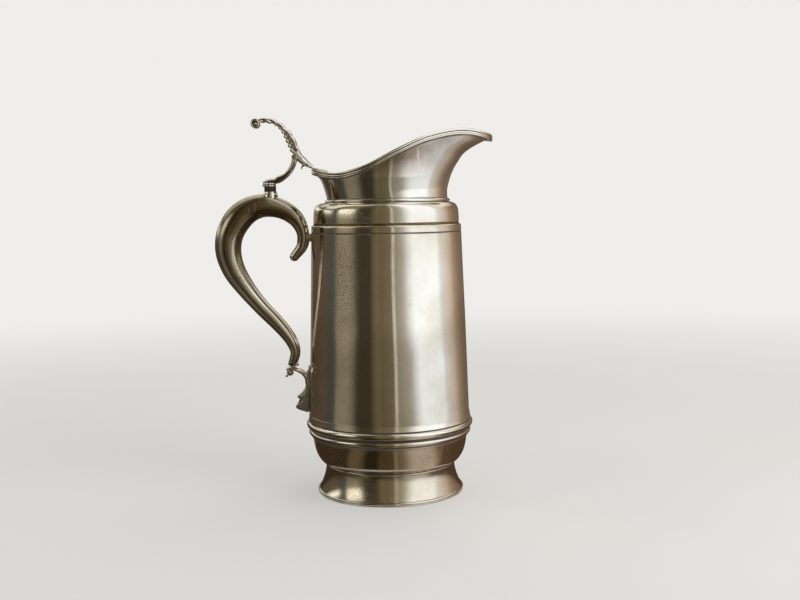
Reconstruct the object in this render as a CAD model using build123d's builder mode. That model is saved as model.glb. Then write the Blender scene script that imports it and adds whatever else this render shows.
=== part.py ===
from build123d import *
from math import cos, pi, radians, sin, sqrt
import os

# Insulated serving jug with a hinged lid, in millimetres.
# The origin is the middle of the foot on the table, +Z is up, the spout points along +X,
# and the handle stands on -X. The hinge pin runs along Y.

# Sheet, fits and clearances
wall = 0.9
handle_wall = 1.0
fit = 0.15
pin_clearance = 0.05
lid_gap = 0.35
knuckle_gap = 0.3

# Foot
foot_rim_radius = 55.2
foot_rim_height = 3.2
foot_rim_width = 4.4
foot_height = 22.6
foot_waist_radius = 48.5
foot_mid_radius = 50.5
foot_mid_height = 10.6
foot_flange_radius = 30.0
foot_bead_height = 1.3
foot_bead_proud = 0.7

# Outer casing, a cone that narrows upwards from the banding
casing_foot_radius = 60.6
casing_top_radius = 55.85
casing_height = 150.9
casing_line_drop = 5.4
casing_line_half = 0.45
casing_line_depth = 0.35

# Lower bowl between the foot and the banding
bowl_inset = 2.6
bowl_side_inset = 3.7
bowl_turn_inset = 6.3
bowl_turn_rise = 5.0
bowl_side_rise = 11.4

# Banding of two beads with a cove above them
band_rise = 20.0
band_ledge_rise = 7.4
cove_height = 9.6
lower_bead_rise = 3.6
lower_bead_proud = 0.4
lower_bead_half = 2.2
upper_bead_rise = 9.5
upper_bead_proud = 2.2
upper_bead_half = 2.7
band_groove_depth = 0.4
band_fillet_proud = 1.0
band_lip = 0.25

# Threaded collar in the casing's mouth, seen only as the seam below the shoulder
collar_depth = 11.0
seam_depth = 1.35
seam_height = 1.4
collar_spigot_height = 7.0
collar_width = 3.3

# Shoulder
shoulder_inset = 1.6
shoulder_height = 15.3
shoulder_drop = 0.7
shoulder_corner = 5.6
shoulder_bore_radius = 41.0

# Heights and radii that follow from these
band_bottom = foot_height + band_rise
band_ledge = band_bottom + band_ledge_rise
band_top = band_ledge + cove_height
casing_top = band_ledge + casing_height
seam_top = casing_top + seam_height
shoulder_top = seam_top + shoulder_height
shoulder_radius = casing_top_radius - shoulder_inset
bowl_top_radius = casing_foot_radius - bowl_inset

# Neck sections, bottom to top: rise over the shoulder, centre and radius of the round part,
# and how far the section reaches from the jug's axis towards the spout and the hinge.
neck_table = [
    (0.0, 1.5, 44.6, 46.3, 43.2),
    (8.4, 0.3, 45.4, 45.9, 45.2),
    (16.4, 0.2, 46.6, 47.8, 47.9),
    (20.4, 0.2, 46.9, 49.3, 51.0),
    (24.4, 0.2, 47.1, 51.2, 55.4),
    (29.4, 0.2, 47.3, 54.4, 59.8),
    (34.4, 0.2, 47.4, 58.0, 62.6),
    (38.4, 0.2, 47.4, 63.2, 64.0),
    (42.4, 0.2, 47.4, 70.6, 64.0),
    (46.4, 0.2, 47.4, 80.2, 64.0),
    (52.4, 0.2, 47.4, 104.0, 64.0),
]
neck_sections = [(shoulder_top + row[0], *row[1:]) for row in neck_table]
spout_sharpness = 3
spout_pinch = 0.4
tongue_sharpness = 6
tongue_pinch = 0.5
section_points = 36
neck_wall_rise = 0.8
neck_ring_height = 2.3
neck_ring_proud = 1.5
neck_ring_fit = 0.6

# Parting line of lid and rim, seen from the side: x and rise over the shoulder
parting_table = [
    (-62.0, 25.4), (-47.0, 21.4), (-33.0, 19.7), (-14.0, 24.2),
    (11.0, 36.4), (32.0, 45.3), (58.5, 49.8), (84.0, 44.5), (104.0, 34.4),
]
parting_points = [(x, shoulder_top + rise) for x, rise in parting_table]
parting_step = 6.0
rim_height = 2.4
rim_proud = 1.0
rim_inset = 1.1

# Lid
lid_thickness = 1.0
lid_wire_height = 1.8
lid_wire_width = 2.0
bezel_radius = 40.6
bezel_depth = 3.4

# Hinge, out from the casing's top edge and up from the shoulder
hinge_x = -casing_top_radius - 11.15
hinge_z = shoulder_top + 34.4
pin_radius = 0.8
pin_length = 10.6
knuckle_radius = 2.0
middle_knuckle_width = 4.0
outer_knuckle_width = 2.9
strap_width = 12.0
strap_arm_width = 3.6
strap_thickness = 1.7
strap_back = hinge_x + 11.4
strap_front = strap_back + 12.6

# Thumbpiece
thumb_width = 7.0
volute_x = hinge_x - 28.4
volute_z = hinge_z + 25.1
volute_radius = 3.5
volute_eye_radius = 1.6
volute_width = 8.6
volute_eye_width = 9.8

# Hinge bracket, its spacer and stud on the handle
bracket_width = 8.6
cap_front = hinge_x - 14.6
cap_back = hinge_x - 24.6
cap_bottom = hinge_z - 21.6
spacer_x = hinge_x - 19.0
spacer_radius = 4.4
stud_radius = 1.4
stud_depth = 8.5

# Hollow handle, from the free curl to the lower end: how far its middle line lies behind the
# hinge and below it, and its radius there
handle_table = [
    (2.2, 74.0, 3.5), (-4.0, 65.4, 4.4), (-4.4, 55.2, 4.9), (1.2, 44.8, 6.1),
    (12.5, 37.8, 7.4), (26.5, 35.8, 8.9), (39.5, 41.4, 9.9), (48.8, 53.4, 10.2),
    (51.7, 67.4, 9.8), (48.4, 82.0, 8.7), (40.0, 96.2, 7.1), (28.0, 111.4, 6.1),
    (15.5, 124.8, 5.5), (6.6, 136.4, 4.7), (3.3, 146.0, 3.9), (5.6, 155.1, 3.3),
]
handle_stations = [(hinge_x - back, hinge_z - drop, radius) for back, drop, radius in handle_table]
handle_pad_height = hinge_z - 59.6
handle_pad_radius = 3.4
handle_pad_depth = 3.0

# Lower bracket under the handle
lower_bracket_width = 9.0
saddle_half = 4.0
lower_spacer_thickness = 1.3
lower_spacer_radius = 3.3
leaf_root_depth = 1.5

# Vacuum flask: an inner and an outer glass joined at the lip
glass = 1.5
seal_height = 3.7
cushion_height = 8.0
flask_radius = casing_top_radius - wall - 4.95
flask_bottom = foot_height + wall + cushion_height
flask_bottom_corner = 30.0
flask_lip = shoulder_top - wall - seal_height
flask_neck_start = flask_lip - 16.0
flask_shoulder = flask_lip - 31.0
flask_neck_radius = shoulder_bore_radius - 1.4
vacuum_gap = 4.5
flask_tip_radius = 3.0
flask_tip_length = 5.0
pad_count = 3
pad_radius = 5.0
pad_height = flask_bottom + 43.5
seal_width = 8.0
seal_overhang = 1.6
cushion_inner_radius = 10.0
cushion_outer_radius = 27.0
centring_bottom = flask_bottom + 86.5
centring_height = 20.0

# Half length and top of the slabs that cut pieces along the parting surface
cut_half_width = 80.0
cut_top = hinge_z + 68.0


def casing_radius(height):
    """Outer radius of the casing at a height."""
    share = (height - band_ledge) / (casing_top - band_ledge)
    return casing_foot_radius + (casing_top_radius - casing_foot_radius) * share


def section_at(height):
    """The neck's section sizes at a height, in line between the two sections next to it."""
    for low, high in zip(neck_sections, neck_sections[1:]):
        if height <= high[0]:
            break
    share = (height - low[0]) / (high[0] - low[0])
    return [a + (b - a) * share for a, b in zip(low, high)]


def section_point(section, turn):
    """Point of a section's outline: round, drawn out towards the spout and the hinge."""
    height, centre, radius, front, back = section
    spout_share = ((1 + cos(turn)) / 2) ** spout_sharpness * (front - centre - radius)
    tongue_share = ((1 - cos(turn)) / 2) ** tongue_sharpness * (back + centre - radius)
    pinch = 1 - (spout_pinch * spout_share + tongue_pinch * tongue_share) / radius
    x = centre + radius * cos(turn) + spout_share - tongue_share
    return Vector(x, radius * sin(turn) * pinch, 0)


section_turns = [2 * pi * step / section_points for step in range(section_points)]


def spread(points, grow):
    """Points of a closed outline, moved out evenly by grow."""
    moved = []
    for index, point in enumerate(points):
        along = (points[(index + 1) % len(points)] - points[index - 1]).normalized()
        moved.append(point + Vector(along.Y, -along.X, 0) * grow)
    return moved


def neck_face(section, grow=0.0, rise=0.0):
    """One neck section as a face at its height, grown evenly and raised."""
    points = [section_point(section, turn) for turn in section_turns]
    with BuildSketch(Plane.XY.offset(section[0] + rise)) as face:
        with BuildLine():
            Spline(spread(points, grow), periodic=True)
        make_face()
    return face.sketch


def neck_solid(grow=0.0, rise=0.0, mode=Mode.ADD):
    """The neck's solid form through all its sections; all but the lowest can be raised."""
    faces = [neck_face(neck_sections[0], grow)]
    faces += [neck_face(section, grow, rise) for section in neck_sections[1:]]
    loft(faces, mode=mode)


def parting_slope(index):
    """Slope of the parting line at one of its points, from the points beside it."""
    before = parting_points[max(index - 1, 0)]
    after = parting_points[min(index + 1, len(parting_points) - 1)]
    return (after[1] - before[1]) / (after[0] - before[0])


def parting_height(x):
    """Height of the parting line at x, on a smooth curve through its points."""
    index = min(sum(point[0] < x for point in parting_points[1:]), len(parting_points) - 2)
    low, high = parting_points[index : index + 2]
    span = high[0] - low[0]
    rise = high[1] - low[1]
    share = (x - low[0]) / span
    start = parting_slope(index) * span
    end = parting_slope(index + 1) * span
    bend = share**2 * (3 * rise - 2 * start - end) + share**3 * (start + end - 2 * rise)
    return low[1] + share * start + bend


def mouth_point(turn):
    """Point of the mouth's outline, seen from above, where the neck meets the parting line."""
    height = neck_sections[-1][0]
    for step in range(40):
        point = section_point(section_at(height), turn)
        height += 0.5 * (parting_height(point.X) - height)
    return point


def mouth_face(grow=0.0):
    """The mouth's outline as a flat face, grown evenly."""
    points = [mouth_point(turn) for turn in section_turns]
    with BuildSketch() as face:
        with BuildLine():
            Spline(spread(points, grow), periodic=True)
        make_face()
    return face.sketch


def parting_slab(low, high, mode):
    """Space from low to high above the parting surface, across the whole jug."""
    start = parting_points[0][0]
    steps = round((parting_points[-1][0] - start) / parting_step)
    line = [(x, parting_height(x)) for x in (start + parting_step * step for step in range(steps))]
    with BuildSketch(Plane.XZ) as side:
        with BuildLine():
            lower = Spline([(x, z + low) for x, z in line])
            if high is None:
                Polyline(lower @ 1, ((lower @ 1).X, cut_top), ((lower @ 0).X, cut_top), lower @ 0)
            else:
                upper = Spline([(x, z + high) for x, z in line])
                Line(lower @ 0, upper @ 0)
                Line(lower @ 1, upper @ 1)
        make_face()
    extrude(side.sketch, amount=cut_half_width, both=True, mode=mode)


def mouth_band(outer_grow, inner_grow, low, high):
    """A band along the mouth, between two outlines and two heights above the parting surface."""
    with BuildSketch(Plane.XY.offset(neck_sections[1][0])) as band:
        add(mouth_face(outer_grow))
        if inner_grow is not None:
            add(mouth_face(inner_grow), mode=Mode.SUBTRACT)
    extrude(band.sketch, amount=cut_top - neck_sections[1][0])
    parting_slab(low, high, Mode.INTERSECT)


# Foot: a spun skirt with a flange under the bowl and a bead where they meet
with BuildPart() as foot_cone:
    with BuildSketch(Plane.XZ):
        with BuildLine():
            low = (foot_rim_radius - 1.1, foot_rim_height)
            mid = (foot_mid_radius, foot_mid_height)
            top = (foot_waist_radius, foot_height - foot_bead_height)
            ThreePointArc(low, mid, top)
            bead_edge = (foot_waist_radius, foot_height)
            bead_nose = (foot_waist_radius + foot_bead_proud, foot_height - foot_bead_height / 2)
            ThreePointArc(top, bead_nose, bead_edge)
            Polyline(
                bead_edge,
                (foot_flange_radius, foot_height),
                (foot_flange_radius, foot_height - wall),
                (foot_waist_radius - wall, foot_height - wall),
            )
            ThreePointArc(
                (foot_waist_radius - wall, foot_height - wall),
                (foot_mid_radius - wall - 0.2, foot_mid_height),
                (foot_rim_radius - 1.1 - 1.3 * wall, foot_rim_height),
            )
            Line((foot_rim_radius - 1.1 - 1.3 * wall, foot_rim_height), low)
        make_face()
    revolve(axis=Axis.Z)
foot_cone.part.label = "foot_cone"

with BuildPart() as foot_rim:
    with BuildSketch(Plane.XZ):
        with Locations((foot_rim_radius - foot_rim_width / 2, foot_rim_height / 2)):
            RectangleRounded(foot_rim_width, foot_rim_height, foot_rim_height * 0.45)
    revolve(axis=Axis.Z)
foot_rim.part.label = "foot_rim"

# Lower bowl: a spun cup that closes the casing from below
with BuildPart() as lower_bowl:
    with BuildSketch(Plane.XZ):
        with BuildLine():
            floor = (foot_waist_radius, foot_height)
            side_radius = casing_foot_radius - bowl_side_inset
            side_height = foot_height + bowl_side_rise
            turn_radius = casing_foot_radius - bowl_turn_inset
            turn_height = foot_height + bowl_turn_rise
            side = (side_radius, side_height)
            ThreePointArc(floor, (turn_radius, turn_height), side)
            Polyline(
                side,
                (bowl_top_radius, band_bottom),
                (bowl_top_radius, band_ledge),
                (bowl_top_radius - wall, band_ledge),
                (bowl_top_radius - wall, band_bottom),
                (side_radius - wall, side_height),
            )
            ThreePointArc(
                (side_radius - wall, side_height),
                (turn_radius - 0.7 * wall, turn_height + 0.7 * wall),
                (foot_waist_radius, foot_height + wall),
            )
            Polyline((foot_waist_radius, foot_height + wall), (0, foot_height + wall), (0, foot_height), floor)
        make_face()
    revolve(axis=Axis.Z)
lower_bowl.part.label = "lower_bowl"

# Banding: a moulded ring with two beads, a ledge for the casing and a cove above
with BuildPart() as band_moulding:
    with BuildSketch(Plane.XZ):
        with BuildLine():
            groove_radius = casing_foot_radius - band_groove_depth
            fillet_radius = casing_foot_radius + band_fillet_proud
            lower_bead = band_bottom + lower_bead_rise
            upper_bead = band_bottom + upper_bead_rise
            base = (bowl_top_radius + 1.2, band_bottom)
            low_start = (groove_radius, lower_bead - lower_bead_half)
            low_end = (groove_radius, lower_bead + lower_bead_half)
            up_start = (groove_radius, upper_bead - upper_bead_half)
            up_end = (fillet_radius - 0.3, upper_bead + upper_bead_half)
            Line(base, low_start)
            ThreePointArc(low_start, (casing_foot_radius + lower_bead_proud, lower_bead), low_end)
            Line(low_end, up_start)
            ThreePointArc(up_start, (casing_foot_radius + upper_bead_proud, upper_bead), up_end)
            fillet_top = (fillet_radius, upper_bead + upper_bead_half + 0.9)
            Line(up_end, fillet_top)
            cove_end = (casing_radius(band_top) + band_lip, band_top)
            cove_mid = (casing_radius(band_top - 2) + 0.65, band_top - 2)
            ThreePointArc(fillet_top, cove_mid, cove_end)
            Polyline(
                cove_end,
                (casing_radius(band_top), band_top),
                (casing_radius(band_ledge), band_ledge),
                (bowl_top_radius, band_ledge),
                (bowl_top_radius, band_bottom),
                base,
            )
        make_face()
    revolve(axis=Axis.Z)
band_moulding.part.label = "band_moulding"

# Casing: a rolled cone with one engraved line under its top edge
with BuildPart() as casing:
    with BuildSketch(Plane.XZ):
        with BuildLine():
            line_height = casing_top - casing_line_drop
            line_low = line_height - casing_line_half
            line_high = line_height + casing_line_half
            Polyline(
                (casing_radius(band_ledge), band_ledge),
                (casing_radius(line_low), line_low),
                (casing_radius(line_height) - casing_line_depth, line_height),
                (casing_radius(line_high), line_high),
                (casing_top_radius, casing_top),
                (casing_top_radius - wall, casing_top),
                (casing_foot_radius - wall, band_ledge),
                close=True,
            )
        make_face()
    revolve(axis=Axis.Z)
casing.part.label = "casing"

# Collar: a turned ring soldered into the casing, whose spigot takes the shoulder
collar_bottom = casing_top - collar_depth
seam_radius = casing_top_radius - seam_depth
collar_outer_radius = shoulder_radius - wall - fit
with BuildPart() as body_collar:
    with BuildSketch(Plane.XZ):
        with BuildLine():
            Polyline(
                (casing_radius(collar_bottom) - wall, collar_bottom),
                (casing_radius(casing_top) - wall, casing_top),
                (seam_radius, casing_top),
                (seam_radius - 0.4, seam_top),
                (collar_outer_radius, seam_top),
                (collar_outer_radius, seam_top + collar_spigot_height),
                (collar_outer_radius - collar_width + 0.9, seam_top + collar_spigot_height),
                (collar_outer_radius - collar_width + 0.9, collar_bottom),
                close=True,
            )
        make_face()
    revolve(axis=Axis.Z)
body_collar.part.label = "body_collar"

# Shoulder: a spun cap with a rounded corner that screws on the collar
with BuildPart() as shoulder:
    with BuildSketch(Plane.XZ):
        with BuildLine():
            outer = FilletPolyline(
                (shoulder_radius, seam_top),
                (shoulder_radius, shoulder_top - shoulder_drop),
                (neck_sections[0][2] + neck_ring_proud + 1.5, shoulder_top),
                radius=shoulder_corner,
            )
            inner = FilletPolyline(
                (shoulder_radius - wall, seam_top),
                (shoulder_radius - wall, shoulder_top - shoulder_drop - wall),
                (neck_sections[0][2] + neck_ring_proud + 1.5, shoulder_top - wall),
                radius=shoulder_corner - wall,
            )
            Line(outer @ 0, inner @ 0)
            Polyline(
                outer @ 1,
                (shoulder_bore_radius, shoulder_top),
                (shoulder_bore_radius, shoulder_top - wall),
                inner @ 1,
            )
        make_face()
    revolve(axis=Axis.Z)
shoulder.part.label = "shoulder"

# Rim wire round the mouth
with BuildPart() as spout_rim:
    mouth_band(rim_proud, -rim_inset, -rim_height, 0)
spout_rim.part.label = "spout_rim"

# Neck and spout: one raised shell, cut off along the parting surface under the rim wire
with BuildPart() as neck:
    neck_solid()
    neck_solid(-wall, neck_wall_rise, Mode.SUBTRACT)
    parting_slab(0, None, Mode.SUBTRACT)
    extrude(mouth_face(rim_proud), amount=cut_top, mode=Mode.INTERSECT)
    add(spout_rim.part, mode=Mode.SUBTRACT)
    neck_body = neck.solids().sort_by(SortBy.VOLUME)[-1]
    add(neck_body, mode=Mode.REPLACE)
neck.part.label = "neck"

# Ring round the foot of the neck, as wide as the neck a little above it
with BuildPart() as neck_ring:
    ring_section = section_at(shoulder_top + 2 * neck_ring_height)
    ring_drop = -2 * neck_ring_height
    extrude(neck_face(ring_section, neck_ring_proud, ring_drop), amount=neck_ring_height)
    fillet(neck_ring.faces().sort_by(Axis.Z)[-1].edges(), neck_ring_height * 0.4)
    ring_bore = neck_face(ring_section, neck_ring_fit, ring_drop)
    extrude(ring_bore, amount=neck_ring_height, mode=Mode.SUBTRACT)
neck_ring.part.label = "neck_ring"

# Lid: a plate in a wire edge, with a bezel ring under it
with BuildPart() as lid_plate:
    mouth_band(rim_proud - lid_wire_width, None, lid_gap, lid_gap + lid_thickness)
lid_plate.part.label = "lid_plate"

with BuildPart() as lid_wire:
    mouth_band(rim_proud, rim_proud - lid_wire_width, lid_gap, lid_gap + lid_wire_height)
lid_wire.part.label = "lid_wire"

with BuildPart() as lid_bezel:
    with BuildSketch(Plane.XY.offset(neck_sections[1][0])):
        Circle(bezel_radius)
        Circle(bezel_radius - wall, mode=Mode.SUBTRACT)
    extrude(amount=cut_top - neck_sections[1][0])
    parting_slab(lid_gap - bezel_depth, lid_gap, Mode.INTERSECT)
lid_bezel.part.label = "lid_bezel"

# Lid strap: a plate on the lid, an arm and the middle knuckle
strap_base = lid_gap + lid_wire_height
with BuildPart() as lid_strap:
    with BuildSketch(Plane.XY.offset(neck_sections[1][0])):
        with Locations(((strap_front + strap_back) / 2, 0)):
            RectangleRounded(strap_front - strap_back, strap_width, 3.0)
    extrude(amount=cut_top - neck_sections[1][0])
    parting_slab(strap_base, strap_base + strap_thickness, Mode.INTERSECT)
    with BuildSketch(Plane.XZ):
        with BuildLine():
            lower = Spline(
                (hinge_x + 13.0, hinge_z - 8.1), (hinge_x + 7.4, hinge_z - 5.4),
                (hinge_x + 1.0, hinge_z - 1.6),
            )
            upper = Spline(
                (hinge_x + 13.0, hinge_z - 6.7), (hinge_x + 7.6, hinge_z - 2.8),
                (hinge_x + 0.6, hinge_z + 1.8),
            )
            Line(lower @ 0, upper @ 0)
            Line(lower @ 1, upper @ 1)
        make_face()
    extrude(amount=strap_arm_width / 2, both=True)
    with BuildSketch(Plane.XZ):
        with Locations((hinge_x, hinge_z)):
            Circle(knuckle_radius)
    extrude(amount=middle_knuckle_width / 2, both=True)
    with BuildSketch(Plane.XZ):
        with Locations((hinge_x, hinge_z)):
            Circle(pin_radius + pin_clearance)
    extrude(amount=strap_width, both=True, mode=Mode.SUBTRACT)
lid_strap.part.label = "lid_strap"

# Thumbpiece: a cast leaf blade that ends in a volute, standing on the strap
with BuildPart() as thumbpiece:
    with BuildSketch(Plane.XZ):
        with BuildLine():
            right = Spline(
                (volute_x + 1.2, volute_z + 3.1), (hinge_x - 21.4, hinge_z + 29.6),
                (hinge_x - 13.0, hinge_z + 27.3), (hinge_x - 5.0, hinge_z + 20.6),
                (hinge_x, hinge_z + 13.6), (hinge_x + 3.4, hinge_z + 5.6),
                (hinge_x + 7.8, hinge_z - 1.1),
            )
            left = Spline(
                (volute_x + 1.6, volute_z - 0.6), (hinge_x - 20.0, hinge_z + 26.3),
                (hinge_x - 12.6, hinge_z + 22.6), (hinge_x - 7.2, hinge_z + 15.6),
                (hinge_x - 3.8, hinge_z + 7.6), (hinge_x - 1.2, hinge_z + 3.2),
            )
            Line(right @ 0, left @ 0)
            Polyline(
                left @ 1, (hinge_x + 1.0, hinge_z + 2.4), (hinge_x + 7.2, hinge_z - 2.1), right @ 1,
            )
        make_face()
    extrude(amount=thumb_width / 2, both=True)
    with BuildSketch(Plane.XZ):
        with Locations((volute_x, volute_z)):
            Circle(volute_radius)
    extrude(amount=volute_width / 2, both=True)
    with BuildSketch(Plane.XZ):
        with Locations((volute_x, volute_z)):
            Circle(volute_eye_radius)
    extrude(amount=volute_eye_width / 2, both=True)
    add(lid_strap.part, mode=Mode.SUBTRACT)
thumbpiece.part.label = "thumbpiece"

# Hinge pin
with BuildPart() as hinge_pin:
    with BuildSketch(Plane.XZ):
        with Locations((hinge_x, hinge_z)):
            Circle(pin_radius)
    extrude(amount=pin_length / 2, both=True)
hinge_pin.part.label = "hinge_pin"

# Hinge bracket: a cast leaf with a cap on the spacer and the two outer knuckles
with BuildPart() as hinge_bracket:
    with BuildSketch(Plane.XZ):
        with BuildLine():
            outer = Spline(
                (hinge_x - 1.9, hinge_z - 0.6), (hinge_x - 2.3, hinge_z - 5.2),
                (hinge_x - 5.8, hinge_z - 11.1), (hinge_x - 11.4, hinge_z - 14.8),
                (hinge_x - 18.0, hinge_z - 16.7), (cap_back, cap_bottom + 3.2),
            )
            inner = Spline(
                (hinge_x + 1.2, hinge_z - 1.6), (hinge_x, hinge_z - 6.4),
                (hinge_x - 3.6, hinge_z - 12.0), (hinge_x - 9.4, hinge_z - 17.2),
                (cap_front, cap_bottom + 2.2),
            )
            Line(outer @ 0, inner @ 0)
            Polyline(inner @ 1, (cap_front, cap_bottom), (cap_back, cap_bottom), outer @ 1)
        make_face()
    extrude(amount=bracket_width / 2, both=True)
    knuckle_start = middle_knuckle_width / 2 + knuckle_gap
    for side in (1, -1):
        with BuildSketch(Plane.XZ.offset(side * knuckle_start)):
            with Locations((hinge_x, hinge_z)):
                Circle(knuckle_radius)
        extrude(amount=side * outer_knuckle_width)
    with BuildSketch(Plane.XZ):
        with Locations((hinge_x, hinge_z)):
            Circle(pin_radius)
    extrude(amount=strap_width, both=True, mode=Mode.SUBTRACT)
    with BuildSketch(Plane.XZ):
        with Locations((hinge_x, hinge_z)):
            Circle(knuckle_radius + knuckle_gap)
    extrude(amount=knuckle_start, both=True, mode=Mode.SUBTRACT)
hinge_bracket.part.label = "hinge_bracket"


def handle_planes():
    """Planes square to the handle's middle line, one at each station."""
    planes = []
    for index, (x, z, radius) in enumerate(handle_stations):
        before = handle_stations[max(index - 1, 0)]
        after = handle_stations[min(index + 1, len(handle_stations) - 1)]
        along = Vector(after[0] - before[0], 0, after[1] - before[1])
        planes.append(Plane(origin=(x, 0, z), x_dir=(0, 1, 0), z_dir=along.normalized()))
    return planes


def handle_rings(shrink, end_wall):
    """Round sections of the handle; the last one stands back from its end by the end wall."""
    planes = handle_planes()
    planes[-1] = planes[-1].offset(-end_wall)
    rings = []
    for plane, (x, z, radius) in zip(planes, handle_stations):
        with BuildSketch(plane) as ring:
            Circle(radius - shrink)
        rings.append(ring.sketch)
    return rings


# Solid of the whole handle, which the pieces that stand on it are cut to
with BuildPart() as handle_form:
    loft(handle_rings(0.0, 0.0))
    with Locations(handle_planes()[0]):
        Sphere(handle_stations[0][2])


# Handle: two pressed half shells, soldered along the middle plane
def handle_half(keep):
    """One half shell of the handle in the current part."""
    add(handle_form.part)
    loft(handle_rings(handle_wall, handle_wall), mode=Mode.SUBTRACT)
    split(bisect_by=Plane.XZ, keep=keep)


with BuildPart() as handle_near_half:
    handle_half(Keep.TOP)
handle_near_half.part.label = "handle_near_half"

with BuildPart() as handle_far_half:
    handle_half(Keep.BOTTOM)
handle_far_half.part.label = "handle_far_half"

# Solid cone of the casing's outside, which pieces on its side are cut to
with BuildPart() as casing_form:
    with BuildSketch(Plane.XZ):
        with BuildLine():
            Polyline(
                (0, band_ledge), (casing_foot_radius, band_ledge), (casing_top_radius, casing_top),
                (0, casing_top), close=True,
            )
        make_face()
    revolve(axis=Axis.Z)

# Pad between the handle's upper curl and the casing
with BuildPart() as handle_pad:
    with BuildSketch(Plane.YZ.offset(-casing_radius(handle_pad_height) - handle_pad_depth)):
        with Locations((0, handle_pad_height)):
            Circle(handle_pad_radius)
    extrude(amount=handle_pad_depth + 0.4)
    add(handle_form.part, mode=Mode.SUBTRACT)
    add(casing_form.part, mode=Mode.SUBTRACT)
handle_pad.part.label = "handle_pad"

# Spacer that carries the hinge bracket on the handle
with BuildPart() as bracket_spacer:
    with BuildSketch(Plane.XY.offset(cap_bottom)):
        with Locations((spacer_x, 0)):
            Circle(spacer_radius)
            Circle(stud_radius, mode=Mode.SUBTRACT)
    extrude(amount=-stud_depth)
    add(handle_form.part, mode=Mode.SUBTRACT)
bracket_spacer.part.label = "bracket_spacer"

# Stud from the bracket's cap through the spacer into the handle
with BuildPart() as bracket_stud:
    with BuildSketch(Plane.XY.offset(cap_bottom)):
        with Locations((spacer_x, 0)):
            Circle(stud_radius)
    extrude(amount=-stud_depth)
    add(handle_form.part, mode=Mode.SUBTRACT)
bracket_stud.part.label = "bracket_stud"

# Lower spacer square to the handle's lower end
end_plane = handle_planes()[-1]
with BuildPart() as lower_spacer:
    with BuildSketch(end_plane):
        Circle(lower_spacer_radius)
    extrude(amount=lower_spacer_thickness)
lower_spacer.part.label = "lower_spacer"

# Lower bracket: a cast leaf with a saddle, a small curl and a drooping leaf on the casing
saddle_plane = end_plane.offset(lower_spacer_thickness)
with BuildPart() as lower_bracket:
    with BuildSketch(Plane.XZ):
        with BuildLine():
            saddle_back = saddle_plane.from_local_coords((0, -saddle_half, 0))
            saddle_front = saddle_plane.from_local_coords((0, saddle_half, 0))
            middle = saddle_plane.origin
            edge = Line((saddle_back.X, saddle_back.Z), (saddle_front.X, saddle_front.Z))
            top = Spline(
                edge @ 1, (middle.X + 8.6, middle.Z - 3.9),
                (leaf_root_depth - casing_radius(middle.Z), middle.Z - 8.3),
            )
            curl = Spline(
                edge @ 0, (middle.X - 5.4, middle.Z - 5.1), (middle.X - 4.0, middle.Z - 9.1),
                (middle.X - 1.0, middle.Z - 7.3), (middle.X + 2.6, middle.Z - 4.9),
            )
            under = Spline(
                curl @ 1, (middle.X + 7.0, middle.Z - 7.1), (middle.X + 9.8, middle.Z - 11.3),
                (middle.X + 10.4, middle.Z - 16.3),
            )
            leaf = Polyline(
                under @ 1, (middle.X + 5.4, middle.Z - 22.7), (middle.X + 6.8, middle.Z - 24.1),
                (middle.X + 3.2, middle.Z - 32.3), (middle.X + 6.8, middle.Z - 34.5),
                (middle.X + 11.0, middle.Z - 35.5),
                (leaf_root_depth - casing_radius(middle.Z - 35.5), middle.Z - 35.5),
            )
            Line(leaf @ 1, top @ 1)
        make_face()
    extrude(amount=lower_bracket_width / 2, both=True)
    add(casing_form.part, mode=Mode.SUBTRACT)
lower_bracket.part.label = "lower_bracket"


def flask_profile(inset, lip_height):
    """Outside line of a glass, moved in by inset, from its bottom centre to its lip."""
    corner = flask_bottom_corner - inset
    radius = flask_radius - inset
    bottom = flask_bottom + inset
    diagonal = corner * (1 - cos(radians(45)))
    floor = Line((0, bottom), (radius - corner, bottom))
    ThreePointArc(floor @ 1, (radius - diagonal, bottom + diagonal), (radius, bottom + corner))
    side = Line((radius, bottom + corner), (radius, flask_shoulder))
    neck_radius = flask_neck_radius - inset
    bend = Spline(side @ 1, (neck_radius, flask_neck_start), tangents=[(0, 1), (0, 1)])
    return Line(bend @ 1, (neck_radius, lip_height))


def flask_underside(radius):
    """Height of the outer glass's underside at a radius within its rounded corner."""
    across = radius - (flask_radius - flask_bottom_corner)
    return flask_bottom + flask_bottom_corner - sqrt(flask_bottom_corner**2 - across**2)


# Inner glass, with the lip that joins the outer glass
inner_inset = glass + vacuum_gap
with BuildPart() as flask_inner:
    with BuildSketch(Plane.XZ):
        with BuildLine():
            outer = flask_profile(inner_inset, flask_lip - glass)
            Polyline(
                outer @ 1, (flask_neck_radius, flask_lip - glass), (flask_neck_radius, flask_lip),
                (flask_neck_radius - inner_inset - glass, flask_lip),
            )
            flask_profile(inner_inset + glass, flask_lip)
            Line((0, flask_bottom + inner_inset), (0, flask_bottom + inner_inset + glass))
        make_face()
    revolve(axis=Axis.Z)
flask_inner.part.label = "flask_inner"

# Outer glass, with the sealed tip under it
with BuildPart() as flask_outer:
    with BuildSketch(Plane.XZ):
        with BuildLine():
            outer = flask_profile(0.0, flask_lip - glass)
            inner = flask_profile(glass, flask_lip - glass)
            Line(outer @ 1, inner @ 1)
            Line((0, flask_bottom), (0, flask_bottom + glass))
        make_face()
    revolve(axis=Axis.Z)
    with BuildSketch(Plane.XY.offset(flask_bottom)):
        Circle(flask_tip_radius)
    extrude(amount=-flask_tip_length, taper=20)
flask_outer.part.label = "flask_outer"

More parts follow.
